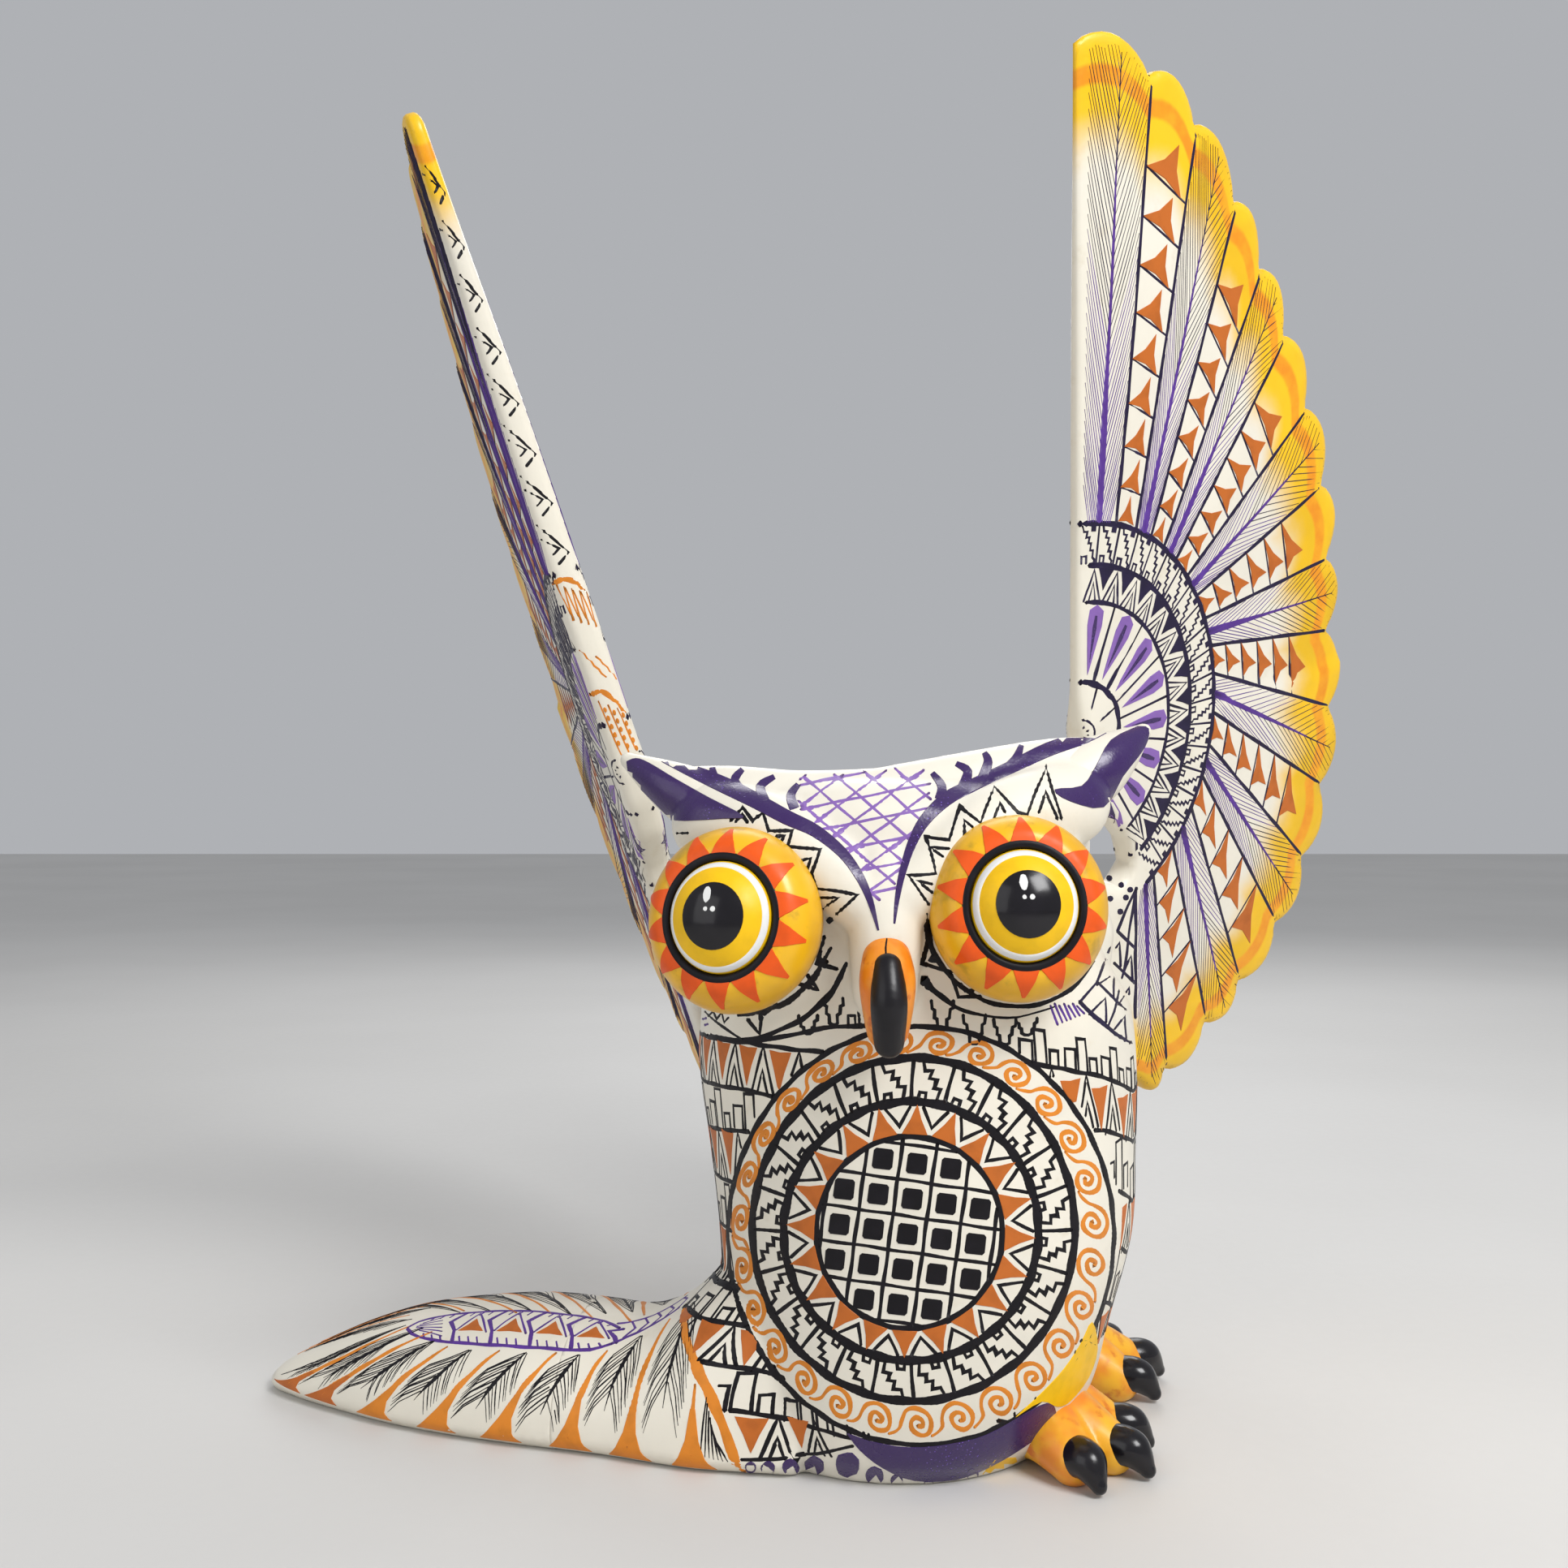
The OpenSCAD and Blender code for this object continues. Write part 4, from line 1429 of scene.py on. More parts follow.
def paint_teeth(brush):
    """Ring of triangles, each pair with two nested points between them."""
    for k in range(TEETH):
        at = lambda s, r: hub(2 + (RING_END - 4) * (k + s) / TEETH, r)
        brush.fill("navy", concave([at(0.66, 38.2), at(1.34, 38.2), at(1.0, 33.0)], 0.06))
        brush.line("navy", [at(0.06, 30.4), at(0.5, 37.4), at(0.94, 30.4)], 0.52)
        brush.line("navy", [at(0.32, 30.4), at(0.5, 34.6), at(0.68, 30.4)], 0.52)


def paint_drops(brush, fine):
    """Drops that point at the middle of the fan, with lines between them."""
    for k in range(DROPS):
        at = lambda da, r: hub(11 + 20.5 * k + da, r)
        fine.fill("lilac", [at(*p) for p in DROP])
        fine.fill("violet", [at(*p) for p in STREAK], height=0.06)
        if k < DROPS - 1:
            brush.line("navy", [at(10.2, 12.2), at(10.2, 30)], 0.58)
    for angle in (28, 66, 105, 140):
        brush.line("navy", [hub(angle, 1.5), hub(angle, 11.6)], 0.5)
    fine.line("navy", [hub(a, 3.2) for a in range(2, 165, 12)], 0.6)


def paint_wing_face(wing, board_surface, side):
    """Rings in the middle of the fan, then feathers that are stepped and barbed by turns."""
    on_board = lambda x, y: x > LINE_FREE
    name = f"{wing.name}_{'inner' if side > 0 else 'outer'}"
    chart = PlaneChart(board_surface, wing.matrix, side)
    brush = Brush(name, wing.name, chart, 7.0, on_board, 0.05)
    fine = Brush(name, wing.name, chart, 2.2, on_board, 0.04)
    for r, weight in zip(RINGS, (1.15, 1.1, 0.9, 1.2)):
        end = 168 if r == RINGS[-1] else RING_END
        fine.line("navy", [hub(a, r) for a in np.arange(1, end, 3.5)], weight)
    paint_outer_band(brush)
    paint_teeth(brush)
    paint_drops(brush, fine)
    for index in range(len(ROOT_ANGLES) + 1):
        feather = Feather(index)
        if index:
            # the line stops at the notch
            fine.line("navy", feather.near, 0.82, ends=(1, 0.8))
        if index % 2:
            stepped_feather(brush, feather, index)
        else:
            barbed_feather(brush, feather)


def paint_leading_edge(wing, board_surface):
    """Nested hooks up the edge that faces forward, then orange arcs with a fringe and dots."""
    brush = Brush(f"{wing.name}_edge", wing.name, EdgeChart(board_surface, wing.matrix), 2.0, None, 0.04)
    for k in range(8):
        y = 51.6 + 11.2 * k
        half = 3.1 * wing.thinning(0, y)
        brush.line("black", [(-half, y + 7.6), (half * 0.75, y), (-half * 0.35, y - 1.8)], 0.6)
        brush.line("black", [(-half, y + 4.4), (half * 0.05, y + 1.5), (-half * 0.5, y + 0.6)], 0.5)
    for arc in ([(-3.3, 45.8), (-1.4, 46.4), (1.0, 45.0), (3.3, 41.5)],
                [(-3.3, 19.3), (-1.2, 19.6), (1.2, 16.6), (3.3, 11.5)]):
        brush.line("gold", curve(arc), 1.0)
    for k in range(4):
        x, y = -2.8 + 1.5 * k, 45.4 - 1.0 * k
        brush.line("gold", [(x, y), (x + 0.9, y - 8.6), (x + 1.3, y - 0.6)], 0.35, ends=(1, 0.8))
    for x, y in ((-2.7, 30), (0.3, 27.5)):
        jagged = [(x + 0.5 * k + 0.25 * (k % 2), y - 1.1 * k) for k in range(8)]
        brush.line("gold", jagged, 0.4)
    for k, x in enumerate((-2.4, -0.6, 1.2)):
        brush.line("gold", [(x, 17.6 - 1.5 * k), (x + 1.1, 4.0)], 0.35)
        for row in range(5):
            brush.dot("gold", x + 0.85 + 0.12 * row, 15.2 - 1.3 * k - 2.1 * row, 0.3, 0.6, points=8)


# ---- paint on the trunk ----------------------------------------------------

# Rings of the round picture on the front: nominal radius, half width, half height, centre x and z
MANDALA_RINGS = [(0, 0, 0, -2.9, 53.8), (17.6, 17.6, 18.2, -2.9, 53.8), (24.6, 24.4, 24.8, -2.6, 54.1),
                 (32.2, 31.0, 33.0, -2.1, 54.4), (40.5, 37.1, 40.2, -0.7, 53.2)]
# Height of each line round the trunk at a few places round it
BAND_STOPS = (-60.0, -42.0, 14.0, 40.0, 56.0)
BAND_LINES = [(86.5, 87.5, 87, 81, 75.5), (76.8, 78, 74, 70.2, 65), (67, 69.5, 64, 59.5, 52.5),
              (56.8, 58, 53, 48, 41.5), (46.3, 47.5, 42, 35.8, 30), (34.5, 36.5, 32, 27, 20),
              (28.6, 29.5, 24, 18, 11), (22.3, 21.7, 15, 9, 3), (13.5, 13.5, 8, 2, -4)]
ROUND_TRUNK = 2 * math.pi * WrapChart.RADIUS
# The trunk behind the round picture, taken as an upright oval
TRUNK_HALF_WIDTH = 46
TRUNK_HALF_DEPTH = 44
# Where the tail meets the trunk: the middle of its pattern, and half its width at each height
TAIL_MIDDLE = -83.0
TAIL_EDGE = [(0, 41.5), (2, 41.4), (13.3, 38.3), (21.3, 33), (25, 27), (28, 17), (36, 12), (48, 7), (57, 0)]
# Distance round the trunk of one triangle or one set of blocks
TRIANGLE_PERIOD = 9.0
BLOCK_PERIOD = 12.6


def mandala_at(angle, r):
    """Point of the round picture on the sheet, at an angle from the top and a nominal radius."""
    radii, *columns = zip(*MANDALA_RINGS)
    wide, tall, cx, cz = (float(np.interp(r, radii, c)) for c in columns)
    a = math.radians(angle)
    return cx + wide * math.sin(a), cz + tall * math.cos(a)


def band_height(line, u):
    """Height of a line round the trunk, eased between the places where it is known."""
    heights = BAND_LINES[line]
    u = (u - BAND_STOPS[0]) % ROUND_TRUNK + BAND_STOPS[0]
    stops = [*zip(BAND_STOPS, heights), (BAND_STOPS[0] + ROUND_TRUNK, heights[0])]
    for (u0, z0), (u1, z1) in zip(stops, stops[1:]):
        if u <= u1:
            return z0 + (z1 - z0) * (u - u0) / (u1 - u0)
    return heights[0]


def on_tail_root(u, z):
    """Whether a place round the trunk belongs to the tail's own pattern."""
    u = (u - TAIL_MIDDLE + ROUND_TRUNK / 2) % ROUND_TRUNK - ROUND_TRUNK / 2
    return z < TAIL_EDGE[-1][0] and abs(u) < table(TAIL_EDGE, z) + 1.0


def in_mandala(u, z):
    """Whether a place round the trunk lies behind the round picture as drawn on the sheet."""
    a = u / WrapChart.RADIUS
    if math.cos(a) < 0:
        return False
    x = WrapChart.AXIS[0] + TRUNK_HALF_WIDTH * math.sin(a)
    y = WrapChart.AXIS[1] - TRUNK_HALF_DEPTH * math.cos(a)
    scale = (FrontChart.SHEET_Y - FrontChart.EYE.y) / (y - FrontChart.EYE.y)
    x = FrontChart.EYE.x + (x - FrontChart.EYE.x) * scale
    z = FrontChart.EYE.z + (z - FrontChart.EYE.z) * scale
    _, wide, tall, cx, cz = MANDALA_RINGS[-1]
    return math.hypot((x - cx) / (wide + 0.7), (z - cz) / (tall + 0.7)) < 1


def near_foot_area(u, z):
    """Whether a place round the trunk is covered by the crescent or the feet."""
    return -14 < u < 90 and z < (24 if u > 25 else 14)


def band_region(u, z):
    """Where bands may be painted: outside the round picture, the tail and the feet."""
    return not in_mandala(u, z) and not on_tail_root(u, z) and z > 3 and not near_foot_area(u, z)


def paint_mandala(brush):
    """Round picture on the front, from the middle outwards."""
    paint_grid(brush)
    paint_ring(brush, 17.9, 1.05)
    paint_sun(brush)
    paint_ring(brush, 24.7, 1.5)
    fret_ring(brush)
    paint_ring(brush, 32.2, 1.45)
    scroll_ring(brush)
    paint_ring(brush, 40.5, 0.95)


def paint_ring(brush, radius, weight):
    """Black line all the way round the picture."""
    brush.line("black", [mandala_at(a, radius) for a in range(0, 360, 4)], weight, closed=True)


def paint_sun(brush, rays=20):
    """Ring of orange rays with an open point between each two."""
    wide = 360 / rays
    ray = ((-0.42, 18.5), (0, 18.4), (0.42, 18.5), (0.15, 21.2), (0, 24.1), (-0.15, 21.2))
    for k in range(rays):
        middle = k * wide + 3
        brush.fill("orange", [mandala_at(middle + da * wide, r) for da, r in ray])
        gap = middle + wide / 2
        point = ((-0.33, 23.8), (0, 19.9), (0.33, 23.8))
        brush.line("black", [mandala_at(gap + da * wide, r) for da, r in point], 0.6)


def paint_grid(brush):
    """Squares between crossing lines in the middle disc."""
    cell, turn, disc = 6.6, math.radians(-8), 17.6
    _, _, tall, cx, cz = MANDALA_RINGS[1]
    swing = lambda x, y: (cx + x * math.cos(turn) - y * math.sin(turn),
                          cz + (x * math.sin(turn) + y * math.cos(turn)) * tall / disc)
    for k in range(-3, 3):
        offset = (k + 0.45) * cell
        reach = math.sqrt(max(0.0, disc**2 - offset**2))
        brush.line("black", [swing(offset, -reach), swing(offset, reach)], 0.7)
        brush.line("black", [swing(-reach, offset), swing(reach, offset)], 0.62)
    half = 1.9
    limit = disc - 0.2
    corners = ((-1, -0.8), (-0.8, -1), (0.8, -0.95), (1, -0.7), (0.95, 0.8), (0.75, 1), (-0.8, 0.96),
               (-1, 0.75))
    for i, j in itertools.product(range(-3, 4), repeat=2):
        x, y = (i - 0.05) * cell, (j - 0.05) * cell
        if math.hypot(x, y) > disc + 0.6:
            continue
        square = [(x + half * a, y + half * b) for a, b in corners]
        for n, p in enumerate(square):
            past = math.hypot(*p)
            if past >= limit:
                # pulled back into the disc
                square[n] = tuple(c * limit / past for c in p)
        brush.fill("black", [swing(*p) for p in square])


def fret_ring(brush, cells=24):
    """Ring of cells, each with a stepped zigzag, a tick and a small arch."""
    inner, outer = 25.2, 31.8
    steps = ((0.24, 1), (0.3, 0.74), (0.5, 0.76), (0.46, 0.54), (0.66, 0.54), (0.6, 0.32), (0.8, 0.32),
             (0.76, 0.02))
    strokes = ((((0, 0), (0, 1)), 0.7), (steps, 0.62), (((0.62, 0.5), (0.62, 0.34)), 0.75),
               (((0.2, 0), (0.22, 0.18), (0.4, 0.18), (0.42, 0)), 0.6))
    for k in range(cells):
        for stroke, weight in strokes:
            points = [mandala_at(360 * (k + s) / cells, inner + (outer - inner) * t) for s, t in stroke]
            brush.line("black", points, weight)


def scroll_ring(brush):
    """Running scrolls between the last two rings."""
    count, radius = 27, 36.3
    wave = [(-6.0, -2.5), (-4.7, -2.0), (-3.6, -1.0), (-3.1, 0.6), (-2.0, 2.2), (0.2, 2.8), (2.3, 1.8),
            (2.9, -0.2), (2.0, -1.9), (0.3, -2.3), (-1.2, -1.3), (-1.2, 0.3), (0.0, 1.1), (1.1, 0.4),
            (0.9, -0.6), (0.1, -0.5)]
    for k in range(count):
        way = -1 if 7 <= k < 20 else 1
        points = [mandala_at((k + 0.5) / count * 360 + math.degrees(way * x / radius), radius + way * y)
                  for x, y in wave]
        brush.line("gold", curve(points, 3), 0.8, ends=(0.6, 1))


def paint_bands(brush):
    """Rows of triangles and of blocks between the lines round the trunk."""
    stops = [float(u) for u in np.arange(BAND_STOPS[0], BAND_STOPS[0] + ROUND_TRUNK + 2, 2.0)]
    for line in range(len(BAND_LINES)):
        brush.line("black", [(u, band_height(line, u)) for u in stops], 0.85)
    for row in range(len(BAND_LINES) - 1):
        motif, nominal = (block_motif, BLOCK_PERIOD) if row % 2 else (triangle_motif, TRIANGLE_PERIOD)
        count = round(ROUND_TRUNK / nominal)
        period = ROUND_TRUNK / count
        for k in range(count):
            u = BAND_STOPS[0] + k * period + brush.unsteady.uniform(-0.4, 0.4)
            top, low = band_height(row, u + period / 2), band_height(row + 1, u + period / 2)
            motif(brush, lambda s, t: (u + s * period, low + (top - low) * t))
    # the open row of blocks above the first line on the right
    wide, tall = 11.0, 7.4
    for k in range(4):
        u = 18 + k * wide
        block_motif(brush, lambda s, t: (u + s * wide, band_height(0, u + s * wide) + tall * t))
    # the lowest row, left of the crescent
    brush.line("black", [(-41, 4.0), (-35, 4.5), (-27.5, 6.2), (-18, 9.4)], 0.7)
    for k in range(2):
        u = -39.5 + 8.6 * k
        triangle_motif(brush, lambda s, t: (u + 8.6 * s, 4.4 + 1.6 * k + (8.6 - 1.0 * k) * t))


def paint_nape(brush):
    """Panel of rows up the back of the figure, above the lines that go all the way round."""
    first, last, rows, tall = 120.0, 170.0, 4, 10.2
    height = lambda u, k: band_height(0, u) + tall * k
    for k in range(1, rows + 1):
        brush.line("black", [(u, height(u, k)) for u in np.arange(first, last + 1, 3.5)], 0.85)
    for u in (first, last):
        brush.line("black", [(u, height(u, 0)), (u, height(u, rows))], 0.7)
    for row in range(rows):
        motif, count = (triangle_motif, 5) if row % 2 else (block_motif, 4)
        period = (last - first) / count
        for k in range(count):
            u = first + k * period
            motif(brush, lambda s, t: (u + s * period, height(u + period / 2, row + t)))


def triangle_motif(brush, at):
    """Orange triangle hanging from the upper line, and two nested points beside it."""
    brush.fill("orange", concave([at(-0.30, 0.93), at(0.30, 0.93), at(0.0, 0.12)], 0.05))
    brush.line("black", [at(0.16, 0.02), at(0.5, 0.97), at(0.84, 0.02)], 0.66)
    brush.line("black", [at(0.34, 0.02), at(0.5, 0.5), at(0.66, 0.02)], 0.62)


def block_motif(brush, at):
    """Three open blocks standing on the lower line."""
    for left, right, height in ((0.04, 0.30, 0.55), (0.36, 0.60, 0.90), (0.68, 0.88, 0.42)):
        brush.line("black", [at(left, 0.0), at(left, height), at(right, height + 0.03), at(right, 0.0)], 0.62)


def paint_base(brush):
    """Dots along the foot of the trunk and the violet crescent beside the near foot."""
    dots = [(-33.4, 7.6, 1.1), (-30.1, 7.4, 1.4), (-25.7, 7.6, 1.7), (-21.2, 7.9, 2.0), (-14.8, 8.2, 2.5),
            (-9.6, 6.0, 1.8), (-5.4, 5.1, 1.2), (0.8, 4.6, 0.9), (5.5, 5.1, 1.0), (9.2, 6.3, 1.2)]
    for x, z, r in dots:
        brush.dot("violet", x, z + 1.1, r * 0.92, points=16)
    crescent = [(-14.9, 15.3), (-10, 13.6), (-3, 12.5), (5, 13.2), (12, 15.0), (18, 18.4), (23.5, 21.0),
                (25.2, 19.4), (23.8, 16.4), (19, 12.6), (12.5, 8.8), (6, 6.4), (-2, 6.2), (-8, 8.6),
                (-12.4, 12.0)]
    brush.fill("violet", smooth_outline(crescent), 0.8)
    patch = [(11.2, 7.4), (13.5, 10.2), (17.5, 10.6), (18.5, 7.5), (15, 5.4), (12.2, 5.4)]
    brush.fill("yellow", patch, 0.9, -0.02)
    tongue = [(17.5, 18.4), (22.3, 22.8), (26.8, 27.6), (30, 32.4), (32.2, 36.6), (33.2, 31.5),
              (31.5, 26), (28, 21.5), (25.5, 20.4), (22.5, 21.4)]
    brush.fill("yellow", smooth_outline(tongue), 0.9)


# ---- paint on the tail -----------------------------------------------------

# Where each orange line between two lobes meets the rim, and how far it leans towards the trunk at the panel
LOBES = [(-0.6, 0.5), (13.5, 2.5), (27, 5), (43, 11), (58.5, 14), (74.6, 17), (90, 20), (101, 20)]
RIM_V = 36.5
# The panel lies on the near side of the ridge
PANEL_V = 13.0
NEAR_PANEL_EDGE = [(-4, 8), (6, 8.5), (14, 11), (22, 17), (30, 18.6), (58, 18.6), (68, 15), (78, 12),
                   (101, 9)]
FAR_PANEL_EDGE = [(-4, 6), (8, 2), (22, -5), (30, -8), (62, -8.4), (72, -9), (86, -6), (101, 0)]
# Distance down from the ridge from which the lines lean over, on either side
LEAN_TOP = {1: 19.0, -1: -8.0}
# Foot of each orange line, spread over the rim: distance along the tail and down from the rim
FLARE = ((-5.0, 0.6), (-2.9, -1.4), (-1.5, -4.2), (-0.5, -9.0), (0.5, -9.0), (1.3, -4.2), (2.7, -1.4),
         (4.6, 0.6))


def panel_edge(u, side):
    """Distance down from the ridge where the lobes start, on the near side (1) or the far side (-1)."""
    return table(NEAR_PANEL_EDGE if side > 0 else FAR_PANEL_EDGE, u)


def lobe_line(lobe, v, top):
    """Distance along the tail of a line between lobes, at a distance v down from the ridge."""
    rim, lean = lobe
    if top < 0:
        lean *= 2.2
    ratio = max(0.0, (RIM_V - v) / (RIM_V - top))
    return rim - lean * ratio ** 1.35


def paint_tail(surface):
    """Both sides of the tail, then what lies over its ridge."""
    for side in (1, -1):
        paint_tail_side(Brush("tail", "figure", SidedTail(surface, side), 1.5, None, 0.06), side)
    over_ridge = Brush("tail", "figure", TailChart(surface), 1.2, None, 0.05)
    paint_tail_tip(over_ridge)
    paint_tail_panel(over_ridge)


def paint_tail_side(brush, side):
    """Lobes down one side of the tail, with orange lines between them."""
    top = LEAN_TOP[side]
    for lobe in LOBES:
        paint_lobe_line(brush, lobe, side, top)
    for near, far in zip(LOBES, LOBES[1:]):
        paint_lobe(brush, near, far, side, top)
    paint_lobe(brush, LOBES[-1], (109, 22), side, top, 0.75)
    # the line round the foot of the trunk, and the strokes under it
    sweep = [(-11, 37, 1.6), (-6, 27.5, 1.8), (-0.5, 21, 1.8), (3.3, 16, 1.5), (6.2, 9, 0.9)]
    brush.line("gold", curve(sweep, 5), 1)
    for k in range(7):
        stroke = [(-3.6 - 0.3 * k, 25.5 + 1.0 * k), (-2.6 - 0.95 * k, 34.5 + 0.1 * k)]
        brush.line("black", stroke, 0.36, ends=(0.9, 0.4))


def paint_lobe_line(brush, lobe, side, top):
    """Orange line that widens towards the rim and spreads out on it."""
    rim, lean = lobe
    start = 24 if lobe is LOBES[0] else panel_edge(rim - lean, side) + 0.6
    points = []
    for t in (k / 10 for k in range(11)):
        v = start + (RIM_V - 2 - start) * t
        points.append((lobe_line(lobe, v, top), v, 0.9 + 0.9 * t ** 2))
    brush.line("gold", points, 1, ends=(0.5, 1))
    flare = [(lobe_line(lobe, RIM_V + dv, top) + du, RIM_V + dv) for du, dv in FLARE]
    brush.fill("gold" if rim < 80 else "orange", flare, 0.9)


def paint_tail_tip(brush):
    """Long thin feathers that run from the panel to the end of the tail, along the ridge."""
    for k, v in enumerate((9.0, 3.0, -3.0)):
        along = lambda t: (71 - 2.5 * k + 33 * t, v + (1.5 + 1.2 * k) * t * t)
        brush.line("black", [along(t) for t in (0, 0.25, 0.5, 0.72)], 0.55, ends=(0.7, 0.4))
        edge = [(x, y - 3.0) for x, y in map(along, (0.05, 0.35, 0.65, 0.95))]
        brush.line("gold", edge, 0.8, ends=(0.5, 1))
        for way, n in itertools.product((-1, 1), range(8)):
            x, y = along(0.02 + 0.085 * n)
            barb = [(x, y), (x + 8.5, y + way * (2.1 - 0.12 * n) + 0.3)]
            brush.line("black", barb, 0.22, ends=(0.9, 0.4))


def paint_lobe(brush, near, far, side, top, fullness=1.0, strokes=10):
    """Dark quill with strokes fanning from it towards the rim."""
    between = lambda s, v: lobe_line(near, v, top) + (lobe_line(far, v, top) - lobe_line(near, v, top)) * s
    start_v = panel_edge(between(0.5, top), side) + 0.8
    down = lambda t: start_v + (RIM_V - start_v) * t
    at = lambda s, t: (between(s, down(t)), down(t))
    quill = [(*at(0.5, t), w) for t, w in ((0.0, 0.5), (0.2, 0.8), (0.45, 0.75), (0.68, 0.3))]
    brush.line("black", quill, 1, ends=(0.5, 0.4))
    for way, k in itertools.product((-1, 1), range(strokes)):
        share = k / strokes
        t = 0.6 * k / strokes + brush.unsteady.uniform(-0.012, 0.012)
        reach = (0.4 + 0.05 * brush.unsteady.uniform(-1, 1)) * (1 - 0.25 * share)
        spread = way * (0.45 - 0.2 * share) * (0.6 + 0.4 * min(1, (t + reach) * 1.4)) * fullness
        start, end = at(0.5 + way * 0.02, max(t, 0.0)), at(0.5 + spread, min(0.94, t + reach))
        bend = (start[0] * 0.35 + end[0] * 0.65, (start[1] + end[1]) / 2)
        brush.line("black", [start, bend, end], 0.22 if k % 2 else 0.3, ends=(0.9, 0.35))


def paint_tail_panel(brush):
    """Leaf-shaped panel with zigzags and triangles, and the band that runs on from it up to the trunk."""
    half = lambda u: table([(20, 2.4), (25, 4.8), (34, 5.4), (50, 5.4), (62, 4.5), (68, 2.6), (70.5, 0.3)], u)
    at = lambda u, s: (u, PANEL_V + s * half(u))
    stops = [21 + 49.5 * k / 24 for k in range(25)]
    for side in (1, -1):
        brush.line("purple", [at(u, side) for u in stops], 0.75)
    for u in (21.5, 30.8, 40.1, 49.4, 58.7):
        brush.line("purple", [at(u - 1.4, 1), at(u - 0.6, 0.3), at(u + 1.4, -0.3), at(u - 1.6, -1)], 0.8)
        if u < 58:
            brush.line("purple", [at(u + 0.6, 0.4), at(u + 4.6, -0.85), at(u + 8.2, 0.3)], 0.45)
            triangle = [at(u + 1.6, 0.34), at(u + 7.6, 0.34), at(u + 4.6, -0.42)]
            brush.fill("orange", concave(triangle, 0.08), 0.9)
        for x in (u + 1.6, u + 3.8, u + 6.0):
            brush.line("purple", [at(x, 0.97), at(x + 0.8, 0.66)], 0.4)
            brush.line("purple", [at(x, -0.97), at(x + 0.8, -0.7)], 0.4)
    for n in range(6):
        stroke = [at(60.5 + 0.5 * n, 0.7 - 0.3 * n), at(68.5 - abs(n - 2.5) * 0.6, 0.4 - 0.18 * n)]
        brush.line("purple", stroke, 0.32)
    for edge in ([(22, 8.6), (15, 5.6), (8, 1.6)], [(21, 15.6), (15, 11.4), (8, 7.0)]):
        brush.line("purple", curve(edge), 0.7)
    for n in range(5):
        back = 2.6 * n
        chevron = ((19, 7.4, 0.52), (17.4, 10.4, 0.55), (19, 13.9, 0.62))
        brush.line("purple", [(u - back, v - drop * back) for u, v, drop in chevron], 0.5)


def paint_tail_root(brush):
    """Lines that run from the tail up the side of the trunk and close in a point, with chevrons between."""
    for n in range(5):
        side = (n - 2) / 2
        line = [(TAIL_MIDDLE + side * reach, z) for reach, z in ((6.4, 36), (4.6, 44), (1.2, 56))]
        brush.line("purple" if n % 2 else "black", line, 0.5)
    for n in range(6):
        z = 36.5 + 3.2 * n
        half = 5.4 - 0.75 * n
        brush.line("purple", [(TAIL_MIDDLE - half, z), (TAIL_MIDDLE, z + 1.8), (TAIL_MIDDLE + half, z)], 0.5)


# ---- paint on the head -----------------------------------------------------

# Centre line of each brow, with its width
LEFT_BROW = [(36.4, 150.9, 0.5), (30.8, 149.0, 2.3), (23.7, 146.6, 2.6), (16.5, 143.2, 2.3),
             (9.3, 139.8, 2.3), (4.3, 137.2, 2.5), (0, 133, 2.1), (-2.5, 128.4, 1.6), (-4.3, 122.8, 1.2),
             (-5.3, 117.7, 0.8), (-5.8, 113.2, 0.25)]
RIGHT_BROW = [(-50.4, 144.6, 0.6), (-45, 142.6, 2.2), (-38.5, 139.8, 3.0), (-32.6, 136.9, 2.9),
              (-26.5, 133.6, 2.7), (-21, 131, 2.3), (-15.9, 126.9, 1.9), (-12.6, 122.4, 1.6),
              (-10.5, 117.7, 1.1), (-8.9, 111.9, 0.25)]
BROW_STROKES = [
    [(-40.8, 143.5), (-40.4, 141.4), (-39, 140.3)], [(-35, 142.8), (-36.5, 140.6), (-34.3, 137.8)],
    [(-28.9, 141.4), (-31.5, 139.6), (-30.7, 136.7)], [(-24.3, 139.9), (-25.7, 137.8), (-25, 135.3)],
    [(1.5, 142.1), (3.3, 139.6), (2.9, 137.1)], [(6.1, 143.9), (8.3, 142.4), (7.2, 139.2)],
    [(11.5, 146), (12.2, 144.2), (11.1, 141)], [(18.6, 147.4), (17.6, 144.9), (16.1, 143.2)],
]
LATTICE_EDGE = [(-25, 141.4), (-14, 143.2), (0.6, 144.2), (2.2, 135.8), (-2.4, 128), (-5, 119.4),
                (-9.6, 117.2), (-15, 125.4), (-24.2, 133.6)]
RIGHT_EAR_VIOLET = [(-57.2, 144.3), (-55.4, 144.9), (-52.9, 144), (-47.9, 141), (-41.5, 137.4),
                    (-34.8, 133.8), (-38.6, 133.4), (-49.3, 133.1), (-53, 136), (-56.3, 140.3)]
LEFT_EAR_VIOLET = [(40.9, 151), (43, 150.6), (42.2, 147), (38, 141.4), (34.4, 135.6), (28, 136.7),
                   (25, 138.9), (30.2, 139.6), (33, 143.5), (35.8, 148.4)]


